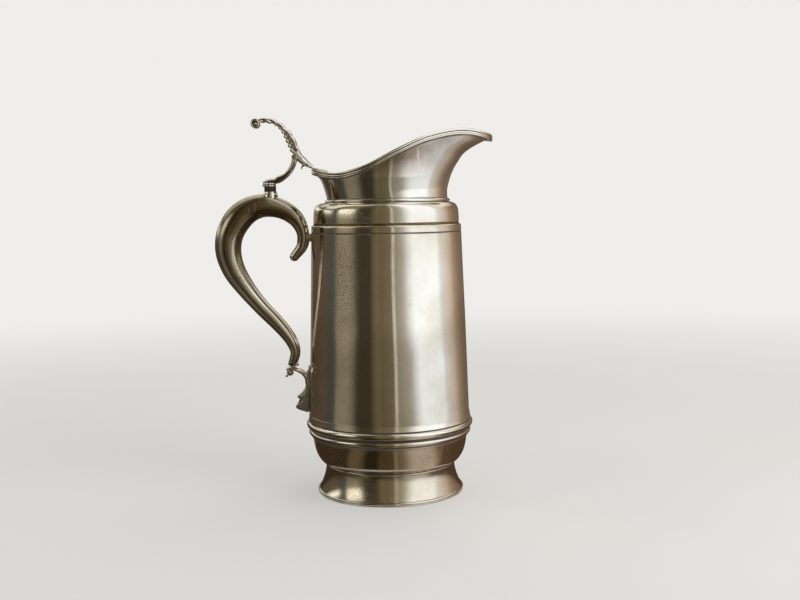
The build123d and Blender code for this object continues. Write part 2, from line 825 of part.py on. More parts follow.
# Pads that hold the inner glass off the outer one
with BuildPart() as flask_pads:
    with PolarLocations(0, pad_count):
        with Locations(Location((flask_radius - glass - vacuum_gap, 0, pad_height), (0, 90, 0))):
            Cylinder(pad_radius, 3 * vacuum_gap, mode=Mode.ADD)
    with BuildSketch(Plane.XY):
        Circle(flask_radius + 3 * vacuum_gap)
        Circle(flask_radius - glass, mode=Mode.SUBTRACT)
    extrude(amount=casing_top, mode=Mode.SUBTRACT)
    with BuildSketch(Plane.XY):
        Circle(flask_radius - inner_inset)
    extrude(amount=casing_top, mode=Mode.SUBTRACT)
flask_pads.part.label = "flask_pads"

# Seal between the flask's lip and the shoulder
with BuildPart() as flask_seal:
    with BuildSketch(Plane.XY.offset(flask_lip)):
        Circle(shoulder_bore_radius + seal_overhang)
        Circle(shoulder_bore_radius + seal_overhang - seal_width, mode=Mode.SUBTRACT)
    extrude(amount=seal_height)
flask_seal.part.label = "flask_seal"

# Cushion ring under the flask, dished to its rounded bottom
with BuildPart() as flask_cushion:
    with BuildSketch(Plane.XZ):
        with BuildLine():
            floor_top = foot_height + wall
            corner_start = flask_radius - flask_bottom_corner
            edge = (cushion_outer_radius, flask_underside(cushion_outer_radius))
            middle = (corner_start + cushion_outer_radius) / 2
            ThreePointArc(
                edge, (middle, flask_underside(middle)), (corner_start, flask_bottom)
            )
            Polyline(
                (corner_start, flask_bottom),
                (cushion_inner_radius, flask_bottom),
                (cushion_inner_radius, floor_top),
                (cushion_outer_radius, floor_top),
                edge,
            )
        make_face()
    revolve(axis=Axis.Z)
flask_cushion.part.label = "flask_cushion"

# Centring band round the middle of the flask
with BuildPart() as centring_band:
    with BuildSketch(Plane.XZ):
        with BuildLine():
            top = centring_bottom + centring_height
            Polyline(
                (flask_radius, centring_bottom),
                (casing_radius(centring_bottom) - wall, centring_bottom),
                (casing_radius(top) - wall, top),
                (flask_radius, top),
                close=True,
            )
        make_face()
    revolve(axis=Axis.Z)
centring_band.part.label = "centring_band"

pieces = [
    foot_cone, foot_rim, lower_bowl, band_moulding, casing, body_collar, shoulder, neck, neck_ring,
    spout_rim, lid_plate, lid_wire, lid_bezel, lid_strap, thumbpiece, hinge_pin, hinge_bracket,
    bracket_spacer, bracket_stud, handle_near_half, handle_far_half, handle_pad, lower_spacer,
    lower_bracket, flask_inner, flask_outer, flask_pads, flask_seal, flask_cushion, centring_band,
]
os.makedirs("parts", exist_ok=True)
for piece in pieces:
    export_step(piece.part, "parts/" + piece.part.label + ".step")
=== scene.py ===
"""Looks of an insulated serving jug with a hinged lid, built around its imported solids.

Lengths in the classes are millimetres in the jug's own frame: the foot's middle is the origin,
+Z is up, the spout points along +X and the hinge pin runs along Y. Meshes are written in metres.
"""

from __future__ import annotations

import logging
import math
from dataclasses import dataclass, field
from enum import Enum
from functools import partial
from typing import Callable, Sequence

import bmesh
import bpy
import numpy as np
from mathutils import Matrix, Vector

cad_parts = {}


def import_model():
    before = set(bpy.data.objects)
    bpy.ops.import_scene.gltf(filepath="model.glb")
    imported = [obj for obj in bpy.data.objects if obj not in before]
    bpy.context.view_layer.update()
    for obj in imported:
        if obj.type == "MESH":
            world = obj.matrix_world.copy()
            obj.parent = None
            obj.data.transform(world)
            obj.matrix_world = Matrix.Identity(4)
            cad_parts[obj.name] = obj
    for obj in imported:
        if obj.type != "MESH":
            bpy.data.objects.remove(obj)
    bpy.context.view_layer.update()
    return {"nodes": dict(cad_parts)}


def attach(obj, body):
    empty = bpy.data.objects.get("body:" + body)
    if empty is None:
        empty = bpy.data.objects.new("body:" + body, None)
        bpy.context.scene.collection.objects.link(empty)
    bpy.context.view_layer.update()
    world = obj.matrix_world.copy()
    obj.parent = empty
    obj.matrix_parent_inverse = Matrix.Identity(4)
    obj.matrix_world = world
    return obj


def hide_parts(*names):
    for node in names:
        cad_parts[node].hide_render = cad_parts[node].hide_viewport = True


MM = 0.001
JOIN = 0.002 * MM
SHARP = math.radians(38)
Pair = tuple[float, float]
Colour = tuple[float, float, float]
Patch = tuple[float, Colour, Colour]
HINGE: Pair = (-67.0, 252.0)
LOG = logging.getLogger("jug")


class Sock:
    """A node output that takes part in sums and products."""

    def __init__(self, tree: "Tree", socket: bpy.types.NodeSocket) -> None:
        """Keep the tree and the socket."""
        self.tree = tree
        self.socket = socket

    def _math(self, operation: str, first: object, second: object, clamp: bool = False) -> "Sock":
        """Add one Math node."""
        settings = {"operation": operation, "use_clamp": clamp}
        return self.tree.node("ShaderNodeMath", settings, {0: first, 1: second})

    def __add__(self, other: object) -> "Sock":
        """Sum."""
        return self._math("ADD", self, other)

    __radd__ = __add__

    def __mul__(self, other: object) -> "Sock":
        """Product."""
        return self._math("MULTIPLY", self, other)

    __rmul__ = __mul__

    def __sub__(self, other: object) -> "Sock":
        """Difference."""
        return self._math("SUBTRACT", self, other)

    def __rsub__(self, other: object) -> "Sock":
        """Difference from a number."""
        return self._math("SUBTRACT", other, self)

    def clamped(self) -> "Sock":
        """The value held between 0 and 1."""
        return self._math("ADD", self, 0.0, clamp=True)

    def larger(self, other: object) -> "Sock":
        """The larger of two values."""
        return self._math("MAXIMUM", self, other)


class Tree:
    """The node tree of a material or of the world."""

    def __init__(self, owner: bpy.types.Material | bpy.types.World) -> None:
        """Start an empty tree.

        Args:
            owner: the material or world.
        """
        owner.use_nodes = True
        self.owner = owner
        self.nodes = owner.node_tree.nodes
        self.links = owner.node_tree.links
        self.nodes.clear()

    def node(
        self, kind: str, settings: dict | None = None, inputs: dict | None = None, out: int | str = 0
    ) -> Sock:
        """Add one node.

        Args:
            kind: the node's type.
            settings: its properties, which are set first.
            inputs: values or Socks by input name or index.
            out: the output to return.

        Returns:
            The wanted output.
        """
        made = self.nodes.new(kind)
        for key, value in (settings or {}).items():
            setattr(made, key, value)
        for key, value in (inputs or {}).items():
            if isinstance(value, Sock):
                self.links.new(value.socket, made.inputs[key])
            else:
                made.inputs[key].default_value = value
        return Sock(self, made.outputs[out])

    def place(self) -> Sock:
        """Object coordinates, in metres."""
        return self.node("ShaderNodeTexCoord", out="Object")

    def attribute(self, name: str) -> Sock:
        """A value painted on the mesh's points."""
        settings = {"attribute_name": name, "attribute_type": "GEOMETRY"}
        return self.node("ShaderNodeAttribute", settings, out="Fac")

    def noise(self, at: Sock, scale: float, detail: float = 3.0, rough: float = 0.55) -> Sock:
        """Noise between 0 and 1 around one half."""
        inputs = {"Vector": at, "Scale": scale, "Detail": detail, "Roughness": rough}
        return self.node("ShaderNodeTexNoise", {}, inputs)

    def stretch(self, at: Sock, scale: Colour, turn: Colour = (0.0, 0.0, 0.0)) -> Sock:
        """Turned and stretched coordinates."""
        return self.node("ShaderNodeMapping", {}, {"Vector": at, "Scale": scale, "Rotation": turn})

    def step(self, value: Sock, low: float, high: float) -> Sock:
        """A soft step from 0 below low to 1 above high.

        Args:
            value: what is compared.
            low: where the step starts.
            high: where it ends.

        Returns:
            The step's socket.
        """
        settings = {"interpolation_type": "SMOOTHSTEP"}
        inputs = {"Value": value, "From Min": low, "From Max": high}
        return self.node("ShaderNodeMapRange", settings, inputs)

    def mix(self, share: object, first: object, second: object) -> Sock:
        """Colour between two colours."""
        ends = [end if isinstance(end, Sock) else (*end, 1.0) for end in (first, second)]
        return self.node("ShaderNodeMix", {"data_type": "RGBA"}, {0: share, 6: ends[0], 7: ends[1]}, 2)

    def bump(self, height: Sock, depth: float) -> Sock:
        """A bump whose height between 0 and 1 stands for a depth in metres."""
        return self.node("ShaderNodeBump", {}, {"Strength": 1.0, "Distance": depth, "Height": height})

    def close(
        self, kind: str, inputs: dict, output: str = "ShaderNodeOutputMaterial"
    ) -> bpy.types.Material | bpy.types.World:
        """Finish with a shader.

        Args:
            kind: the shader's type.
            inputs: its values.
            output: the output node's type.

        Returns:
            The material or world.
        """
        shader = self.node(kind, {}, inputs)
        self.links.new(shader.socket, self.nodes.new(output).inputs["Surface"])
        return self.owner


class Grain(Enum):
    """Which way a sheet's fine working marks run."""

    SPUN = (0.05, 0.05, 1.0)
    ROLLED = (1.0, 1.0, 0.035)
    CAST = (1.0, 1.0, 1.0)


@dataclass(frozen=True)
class Silver:
    """Old silver plate: bright metal, warm patina, pits, scratches, and recesses darkened by tarnish
    and painted shade.
    """

    name: str
    slot: str = "silver_plate"
    grain: Grain = Grain.SPUN
    metal: Colour = (0.86, 0.83, 0.765)
    patina_and_shade: Colour = (0.56, 0.465, 0.315)
    tarnish_and_shade: Colour = (0.055, 0.04, 0.026)
    patina_share: float = 0.5
    tarnish_and_shade_share: float = 0.9
    roughness: float = 0.085
    mark_depth: float = 0.00001
    pit_scale: float = 1050.0
    fresh: Colour = (0.9, 0.87, 0.8)

    def material(self) -> bpy.types.Material:
        """Build the metal.

        Returns:
            The material.
        """
        tree = Tree(bpy.data.materials.new(self.name))
        place = tree.place()
        recess, spots, shade_and_tarnish_film = (tree.attribute(name) for name in ("recess", "spots", "shade_and_tarnish_film"))
        marks = tree.noise(tree.stretch(place, self.grain.value), 1500.0, 2.0, 0.6)
        cloud = tree.noise(place, 28.0, 6.0, 0.62)
        broad = tree.noise(place, 9.0, 3.0, 0.5)
        fine = tree.noise(place, self.pit_scale, 3.0, 0.6)
        lines = tree.noise(tree.stretch(place, (1.0, 0.03, 0.9), (0.5, 0.35, 0.6)), 650.0, 1.0, 0.4)
        cross = tree.noise(tree.stretch(place, (0.9, 1.0, 0.04), (0.35, -0.6, 0.2)), 520.0, 1.0, 0.4)
        scratch = (tree.step(lines, 0.69, 0.73) + tree.step(cross, 0.7, 0.74)).clamped()
        # Darkening from the recess attribute: tarnish in hollows, and painted shade along joins and
        # under edges.
        tarnish_and_shade_mask = tree.step(recess + (cloud - 0.5) * 0.5, 0.22, 0.85) * self.tarnish_and_shade_share
        # Small round pits, most of them where the plate is painted as spotted.
        inputs = {"Vector": place, "Scale": self.pit_scale}
        cell = tree.node("ShaderNodeTexVoronoi", {}, inputs, out="Distance")
        pits = (fine - 0.5) * 0.7 - cell + spots * 0.3 + (cloud - 0.5) * 0.3
        pits = (tree.step(pits, -0.16, -0.04) * (spots * 0.7 + 0.1)).clamped()
        # Warm patina in clouds, and over it the film: painted shade with tarnish.
        warm = tree.step(cloud * 0.65 + broad * 0.45 + spots * 0.1, 0.4, 0.72) * self.patina_share
        warm = (warm + shade_and_tarnish_film * (cloud * 0.5 + 0.6)).clamped()
        colour = tree.mix(warm, self.metal, self.patina_and_shade)
        colour = tree.mix(scratch * 0.25, colour, self.fresh)
        colour = tree.mix(pits, colour, self.tarnish_and_shade)
        colour = tree.mix(tarnish_and_shade_mask, colour, self.tarnish_and_shade)
        rough = (cloud - 0.5) * 0.12 + (marks - 0.5) * 0.08 + warm * 0.07
        rough = rough + scratch * 0.1 + spots * 0.06 + pits * 0.3 + tarnish_and_shade_mask * 0.35 + self.roughness
        metallic = (1.0 - tarnish_and_shade_mask * 0.45 - pits * 0.3).clamped()
        height = marks * 0.45 + fine * 0.15 + cloud * 0.3 - scratch * 0.35 - pits * 0.35
        return tree.close("ShaderNodeBsdfPrincipled", {
            "Base Color": colour, "Roughness": rough.clamped(), "Metallic": metallic,
            "Normal": tree.bump(height, self.mark_depth),
        })


@dataclass(frozen=True)
class Plain:
    """A plain stuff with cloudy colour and a fine surface."""

    name: str
    slot: str
    dark: Colour
    light: Colour
    roughness: float
    metallic: float = 0.0
    coat: float = 0.0
    grain: Colour = (1.0, 1.0, 1.0)
    grain_scale: float = 400.0
    depth: float = 0.00005

    def material(self) -> bpy.types.Material:
        """Build the stuff.

        Returns:
            The material.
        """
        tree = Tree(bpy.data.materials.new(self.name))
        place = tree.place()
        cloud = tree.noise(place, 60.0, 5.0)
        grain = tree.noise(tree.stretch(place, self.grain), self.grain_scale, 4.0, 0.6)
        share = tree.step(cloud * 0.6 + grain * 0.5, 0.35, 0.75)
        rough = (grain - 0.5) * 0.25 + (cloud - 0.5) * 0.15 + self.roughness
        return tree.close("ShaderNodeBsdfPrincipled", {
            "Base Color": tree.mix(share, self.dark, self.light), "Roughness": rough.clamped(),
            "Metallic": self.metallic, "Coat Weight": self.coat,
            "Normal": tree.bump(grain * 0.7 + cloud * 0.3, self.depth),
        })


Finish = Silver | Plain

SPUN_PLATE = Silver("spun_plate")
# Very dark patina, which the film patches on the neck reach: painted dark reflection with tarnish.
NECK_PLATE = Silver("neck_plate", patina_and_shade=(0.19, 0.135, 0.09), patina_share=0.22)
BODY_PLATE = Silver("body_plate", grain=Grain.ROLLED, patina_share=0.5, roughness=0.07)
FOOT_PLATE = Silver("foot_plate", patina_share=0.6, roughness=0.09)
# Darker metal and patina than the other plate: painted shade that dims the handle's highlights.
HANDLE_PLATE = Silver(
    "handle_plate", grain=Grain.CAST, metal=(0.80, 0.76, 0.67), patina_and_shade=(0.27, 0.22, 0.135),
    patina_share=0.35, roughness=0.12,
)
LID_PLATE = Silver("lid_sheet", grain=Grain.CAST, patina_share=0.5, roughness=0.11)
WIRE_PLATE = Silver("wire_plate", grain=Grain.CAST, patina_share=0.35, roughness=0.09)
CAST_SILVER = Silver(
    "cast_silver", "cast_silver", Grain.CAST, (0.84, 0.80, 0.73), (0.52, 0.43, 0.31),
    (0.03, 0.024, 0.018), 0.35, 0.97, 0.16, 0.000008,
)
# Very dark brass: where the collar shows at the shoulder's seam it stands for tarnish and painted
# shade.
BRASS = Plain("collar_brass", "brass_collar", (0.07, 0.05, 0.03), (0.30, 0.21, 0.10), 0.45, 1.0)
# Nearly black fibre; on the two spacers at the handle's ends the black is partly painted shade.
FIBRE = Plain("dark_fibre", "dark_fibre", (0.014, 0.01, 0.007), (0.045, 0.03, 0.02), 0.5)
GLASS = Plain(
    "silvered_glass", "flask_glass", (0.80, 0.81, 0.80), (0.90, 0.91, 0.90), 0.05, 1.0, 1.0,
    grain_scale=120.0, depth=0.00002,
)
RUBBER = Plain("old_rubber", "seal_rubber", (0.07, 0.055, 0.045), (0.2, 0.165, 0.14), 0.7)
CORK = Plain(
    "pressed_cork", "cork", (0.33, 0.21, 0.11), (0.62, 0.46, 0.29), 0.85,
    grain_scale=700.0, depth=0.0003,
)


def follow(table: Sequence[Sequence[float]], key: float) -> list[float]:
    """Read a table on a smooth curve through its rows.

    Args:
        table: rows whose first number is the key, in rising order.
        key: where to read.

    Returns:
        The other columns' values at the key.
    """
    last = len(table) - 2
    index = min(sum(row[0] < key for row in table[1:]), last)
    low, high = table[index], table[index + 1]
    span = high[0] - low[0]
    share = (key - low[0]) / span
    found = []
    for column in range(1, len(low)):
        slopes = []
        for at in (index, index + 1):
            before, after = table[max(at - 1, 0)], table[min(at + 1, last + 1)]
            slopes.append((after[column] - before[column]) / (after[0] - before[0]) * span)
        rise = high[column] - low[column]
        bend = share**2 * (3 * rise - 2 * slopes[0] - slopes[1])
        bend += share**3 * (slopes[0] + slopes[1] - 2 * rise)
        found.append(low[column] + share * slopes[0] + bend)
    return found


def smooth(points: Sequence[Sequence[float]], steps: int) -> list[list[float]]:
    """Lay a smooth curve through points of any number of columns.

    Args:
        points: the points.
        steps: pieces between each two points.

    Returns:
        The curve's points.
    """
    keys = [0.0]
    for first, second in zip(points, points[1:]):
        keys.append(keys[-1] + max(math.dist(first[:2], second[:2]), 1e-6))
    table = [(key, *point) for key, point in zip(keys, points)]
    curve = []
    for low, high in zip(keys, keys[1:]):
        curve += [follow(table, low + (high - low) * step / steps) for step in range(steps)]
    return [*curve, list(points[-1])]


def spread(points: Sequence[Pair], count: int) -> list[Pair]:
    """Points at even steps of a smooth line.

    Args:
        points: the line's points.
        count: how many to return.

    Returns:
        The points, both ends with them.
    """
    fine = smooth(points, 12)
    keys = [0.0]
    for first, second in zip(fine, fine[1:]):
        keys.append(keys[-1] + math.dist(first, second))
    wanted = [keys[-1] * step / (count - 1) for step in range(count)]
    columns = [np.interp(wanted, keys, [point[axis] for point in fine]) for axis in (0, 1)]
    return [(float(x), float(y)) for x, y in zip(*columns)]


def arc(start: Pair, middle: Pair, end: Pair, steps: int) -> list[Pair]:
    """Points of the arc through three points.

    Args:
        start: its first point.
        middle: a point on it.
        end: its last point.
        steps: pieces.

    Returns:
        The points, both ends with them.
    """
    (ax, ay), (bx, by), (cx, cy) = start, middle, end
    d = 2 * (ax * (by - cy) + bx * (cy - ay) + cx * (ay - by))
    sa, sb, sc = ax**2 + ay**2, bx**2 + by**2, cx**2 + cy**2
    ox = (sa * (by - cy) + sb * (cy - ay) + sc * (ay - by)) / d
    oy = (sa * (cx - bx) + sb * (ax - cx) + sc * (bx - ax)) / d
    radius = math.hypot(ax - ox, ay - oy)
    first, mid, last = (math.atan2(y - oy, x - ox) for x, y in (start, middle, end))
    turn = (last - first) % math.tau
    if (mid - first) % math.tau > turn:
        turn -= math.tau
    angles = (first + turn * step / steps for step in range(steps + 1))
    return [(ox + radius * math.cos(angle), oy + radius * math.sin(angle)) for angle in angles]


def round_corners(corners: Sequence[tuple[float, float, float]], steps: int = 6) -> list[Pair]:
    """A closed line whose corners are rounded, with a point close beside each round.

    Args:
        corners: each corner and its radius.
        steps: pieces in each round.

    Returns:
        The line's points.
    """
    line: list[Pair] = []
    count = len(corners)
    for index, (x, y, radius) in enumerate(corners):
        here = Vector((x, y))
        back = Vector(corners[index - 1][:2]) - here
        ahead = Vector(corners[(index + 1) % count][:2]) - here
        if radius <= 0:
            line.append((x, y))
            continue
        half = back.angle(ahead) / 2
        reach = min(radius / math.tan(half), 0.45 * back.length, 0.45 * ahead.length)
        size = reach * math.tan(half)
        centre = here + (back.normalized() + ahead.normalized()).normalized() * size / math.sin(half)
        start, end = here + back.normalized() * reach, here + ahead.normalized() * reach
        middle = centre + (here - centre).normalized() * size
        guard = min(0.15, 0.3 * reach)
        line.append(tuple(start + back.normalized() * guard))
        line += arc(tuple(start), tuple(middle), tuple(end), steps)
        line.append(tuple(end + ahead.normalized() * guard))
    return line


def beside(origin: Pair, steps: Sequence[Pair]) -> list[Pair]:
    """Points that lie some steps away from a point."""
    return [(origin[0] + x, origin[1] + z) for x, z in steps]


def angles(count: int) -> list[float]:
    """Even steps round a circle."""
    return [math.tau * step / count for step in range(count)]


def oval(sides: int, power: float) -> list[Pair]:
    """A unit circle's points, pulled towards a square when the power is below 1.

    Args:
        sides: how many points.
        power: what each coordinate is raised to.

    Returns:
        The points.
    """
    points = ((math.cos(turn), math.sin(turn)) for turn in angles(sides))
    return [tuple(math.copysign(abs(v) ** power, v) for v in point) for point in points]


def across(path: Sequence[Sequence[float]], index: int) -> Vector:
    """The way square to a line in the jug's middle plane.

    Args:
        path: the line's points, x and height first.
        index: the point.

    Returns:
        A vector of length 1, to the left of the line.
    """
    before, after = path[max(index - 1, 0)], path[min(index + 1, len(path) - 1)]
    along = Vector((after[0] - before[0], 0, after[1] - before[1])).normalized()
    return Vector((-along.z, 0, along.x))


def link(name: str, data: bpy.types.ID) -> bpy.types.Object:
    """Put a new object in the scene.

    Args:
        name: its name.
        data: its mesh, lamp or camera.

    Returns:
        The object.
    """
    made = bpy.data.objects.new(name, data)
    bpy.context.scene.collection.objects.link(made)
    return made


class Cast:
    """Collects points and faces in millimetres and turns them into one object."""

    def __init__(self, name: str) -> None:
        """Start empty.

        Args:
            name: the piece's name.
        """
        self.name = name
        self.points: list[tuple[float, float, float]] = []
        self.faces: list[tuple[int, ...]] = []
        self.tarnish_and_shade: list[float] = []

    def grid(
        self, rows: Sequence[Sequence[Vector]], around: bool = True, along: bool = False,
        caps: bool = False, tarnish_and_shade: float = 0.0,
    ) -> None:
        """Add a sheet of four-sided faces.

        Args:
            rows: rows of as many points each.
            around: joins each row's last point to its first.
            along: joins the last row to the first.
            caps: closes the first and last row with a fan.
            tarnish_and_shade: how much tarnish and painted shade lies on it.
        """
        start, width, height = len(self.points), len(rows[0]), len(rows)
        for row in rows:
            self.points += [tuple(point) for point in row]
        for j in range(height if along else height - 1):
            for i in range(width if around else width - 1):
                a, b = start + j * width + i, start + j * width + (i + 1) % width
                c, d = (start + (j + 1) % height * width + k for k in ((i + 1) % width, i))
                self.faces.append((a, b, c, d))
        if caps:
            for j in (0, height - 1):
                centre = sum((Vector(point) for point in rows[j]), Vector()) / width
                self.points.append(tuple(centre))
                hub, base = len(self.points) - 1, start + j * width
                self.faces += [(base + i, base + (i + 1) % width, hub) for i in range(width)]
        self.tarnish_and_shade += [tarnish_and_shade] * (len(self.points) - len(self.tarnish_and_shade))

    def strip(
        self, path: Sequence[Pair], size: Callable[[float], Pair],
        curl: Callable[[float, float], float] = lambda u, v: 0.0,
        sides: int = 24, shift: float = 0.0, power: float = 1.0,
    ) -> None:
        """Sweep a flattened rod along a path in the jug's middle plane.

        Args:
            path: the path's points, x and height.
            size: half thickness and half width at a share of the path.
            curl: shift across the strip at a share of the path and of the half width.
            sides: points round the rod.
            shift: how far to the side the path runs.
            power: below 1 makes the section squarer.
        """
        rows = []
        for index, (x, z) in enumerate(path):
            out = across(path, index)
            share = index / (len(path) - 1)
            thick, wide = size(share)
            rows.append([
                Vector((x, shift, z)) + out * (a * thick + curl(share, b)) + Vector((0, b * wide, 0))
                for a, b in oval(sides, power)
            ])
        self.grid(rows, caps=True)

    def leaf(
        self, outer: Sequence[Pair], inner: Sequence[Pair], width: Callable[[float], float],
        ribs: float = 0.0, veins: float = 3.0, sides: int = 28, tarnish_and_shade: float = 0.0, power: float = 1.0,
    ) -> None:
        """Fill the shape between two lines in the jug's middle plane, thin at both sides.

        Args:
            outer: the line that stands proud.
            inner: as many points of the other line.
            width: half width at a share of the line.
            ribs: how deep the veins are, as a share of the thickness.
            veins: half as many veins.
            sides: points round a section.
            tarnish_and_shade: how much tarnish and painted shade lies on it.
            power: below 1 makes the section squarer.
        """
        rows = []
        for index, ((ox, oz), (ix, iz)) in enumerate(zip(outer, inner)):
            middle = Vector(((ox + ix) / 2, 0, (oz + iz) / 2))
            reach = Vector(((ox - ix) / 2, 0, (oz - iz) / 2))
            wide = width(index / (len(outer) - 1))
            row = []
            for a, b in oval(sides, power):
                vein = 1 - ribs * (0.5 - 0.5 * math.cos(math.tau * veins * b)) * (1 - b**4)
                row.append(middle + reach * a * vein + Vector((0, b * wide, 0)))
            rows.append(row)
        self.grid(rows, caps=True, tarnish_and_shade=tarnish_and_shade)

    def rod(self, low: Vector, high: Vector, ends: Sequence[Pair], sides: int = 40) -> None:
        """Add a turned rod.

        Args:
            low: its first end.
            high: its other end.
            ends: share of the length and radius, from end to end.
            sides: points round it.
        """
        axis = (high - low).normalized()
        side = axis.orthogonal().normalized()
        other = axis.cross(side)
        rows = []
        for share, radius in ends:
            middle = low + (high - low) * share
            rows.append([
                middle + (side * math.cos(t) + other * math.sin(t)) * radius for t in angles(sides)
            ])
        self.grid(rows, caps=True)

    def ball(
        self, centre: Vector, radius: float, squash: Vector = Vector((1, 1, 1)), steps: int = 14
    ) -> None:
        """Add a ball.

        Args:
            centre: its middle.
            radius: its radius.
            squash: its share of the radius along each axis.
            steps: rows of faces.
        """
        rows = []
        for step in range(1, steps):
            c, s = math.cos(math.pi * step / steps), math.sin(math.pi * step / steps)
            rows.append([
                centre + radius * squash * Vector((s * math.cos(t), s * math.sin(t), c))
                for t in angles(2 * steps)
            ])
        self.grid(rows, caps=True)

    def mesh(self) -> bpy.types.Mesh:
        """Write the points and faces as they are.

        Returns:
            A mesh in metres.
        """
        mesh = bpy.data.meshes.new(self.name)
        mesh.from_pydata([(x * MM, y * MM, z * MM) for x, y, z in self.points], [], self.faces)
        return mesh

    def bound(self) -> bpy.types.Object:
        """Make the object: joined, facing outwards, smooth, its recesses painted.

        Returns:
            The object, linked to the scene.
        """
        mesh = self.mesh()
        layer = mesh.attributes.new("recess", "FLOAT", "POINT")
        layer.data.foreach_set("value", np.array(self.tarnish_and_shade, dtype=np.float32))
        edit = bmesh.new()
        edit.from_mesh(mesh)
        bmesh.ops.remove_doubles(edit, verts=edit.verts, dist=JOIN)
        bmesh.ops.dissolve_degenerate(edit, edges=edit.edges, dist=JOIN / 2)
        bmesh.ops.recalc_face_normals(edit, faces=edit.faces)
        edit.to_mesh(mesh)
        edit.free()
        return settle(link(self.name, mesh))


def settle(piece: bpy.types.Object) -> bpy.types.Object:
    """Shade a piece smooth up to its sharp edges and paint its recesses.

    Args:
        piece: the piece.

    Returns:
        The piece.
    """
    piece.data.shade_smooth()
    piece.data.set_sharp_from_angle(angle=SHARP)
    paint(piece, "recess", np.maximum(painted(piece, "recess"), recess_of(piece.data)))
    return piece


def read(items: Sequence, name: str, width: int, kind: type = float) -> np.ndarray:
    """Read one property of every item in a list of Blender's.

    Args:
        items: the list.
        name: the property.
        width: how many values it has.
        kind: their type.

    Returns:
        One row an item.
    """
    values = np.empty(len(items) * width, dtype=kind)
    items.foreach_get(name, values)
    return values.reshape(-1, width)


def recess_of(mesh: bpy.types.Mesh) -> np.ndarray:
    """How hollow a mesh is at each point, from 0 on flat and raised places to 1 in tight hollows.

    Args:
        mesh: the mesh.

    Returns:
        One value a point.
    """
    place, normal = read(mesh.vertices, "co", 3) / MM, read(mesh.vertices, "normal", 3)
    edges = read(mesh.edges, "vertices", 2, np.int64)
    hollow = np.zeros(len(place))
    reach = place[edges[:, 1]] - place[edges[:, 0]]
    squared = np.maximum((reach**2).sum(1), 1e-3)
    for end, sign in ((0, 1.0), (1, -1.0)):
        bend = sign * (reach * normal[edges[:, end]]).sum(1) / squared
        np.maximum.at(hollow, edges[:, end], bend)
    hollow = np.clip(hollow / 0.7, 0, 1)
    total, share = np.zeros(len(place)), np.zeros(len(place))
    for end in (0, 1):
        np.add.at(total, edges[:, end], hollow[edges[:, 1 - end]])
        np.add.at(share, edges[:, end], 1)
    return 0.6 * hollow + 0.4 * total / np.maximum(share, 1)


def paint(piece: bpy.types.Object, name: str, values: np.ndarray) -> None:
    """Store one value a point on a piece.

    Args:
        piece: the piece.
        name: the attribute's name.
        values: one value a point.
    """
    layer = piece.data.attributes.get(name) or piece.data.attributes.new(name, "FLOAT", "POINT")
    layer.data.foreach_set("value", values.astype(np.float32))


def painted(piece: bpy.types.Object, name: str) -> np.ndarray:
    """The values that are stored on a piece's points, one a point."""
    return read(piece.data.attributes[name].data, "value", 1, np.float32)[:, 0]


def points_of(piece: bpy.types.Object) -> np.ndarray:
    """A piece's points in millimetres, one row a point."""
    return read(piece.data.vertices, "co", 3) / MM


def blots(at: np.ndarray, patches: Sequence[Patch], most: float = 1.3) -> np.ndarray:
    """Sum soft patches.

    Args:
        at: points, one row a point.
        patches: each patch's strength, its middle and how far it reaches along each axis.
        most: the largest sum.

    Returns:
        One value a point.
    """
    total = np.zeros(len(at))
    for strength, centre, reach in patches:
        away = ((at - np.array(centre)) / np.array(reach)) ** 2
        total += strength * np.exp(-away.sum(1))
    return np.clip(total, 0, most)


def darken(piece: bpy.types.Object, away: np.ndarray, strength: float, reach: float) -> None:
    """Paint a dark line: painted shade along a join or under an edge, with old tarnish.

    Args:
        piece: the piece.
        away: how far each point is from the line.
        strength: how dark the line is.
        reach: how far the darkening spreads.
    """
    recess = painted(piece, "recess") + strength * np.exp(-((away / reach) ** 2))
    paint(piece, "recess", np.clip(recess, 0, 1))


def ringed(name: str, rows: Sequence[Sequence[Vector]]) -> bpy.types.Object:
    """Make a piece from rows round the mouth, the last joined to the first.

    Args:
        name: the piece's name.
        rows: its points, row by row.

    Returns:
        The piece.
    """
    piece = Cast(name)
    piece.grid(rows, along=True)
    return piece.bound()


def spun(
    name: str, profile: Sequence[Pair], segments: int = 192, warp: Callable | None = None
) -> bpy.types.Object:
    """Make a piece that is turned round the jug's axis.

    Args:
        name: the piece's name.
        profile: its closed profile of radius and height.
        segments: steps round the axis.
        warp: gives the change of radius at an angle and height.

    Returns:
        The piece.
    """
    rows = []
    for radius, height in profile:
        row = []
        for turn in angles(segments):
            r = radius + (warp(turn, height) if warp else 0.0)
            row.append(Vector((r * math.cos(turn), r * math.sin(turn), height)))
        rows.append(row)
    return ringed(name, rows)


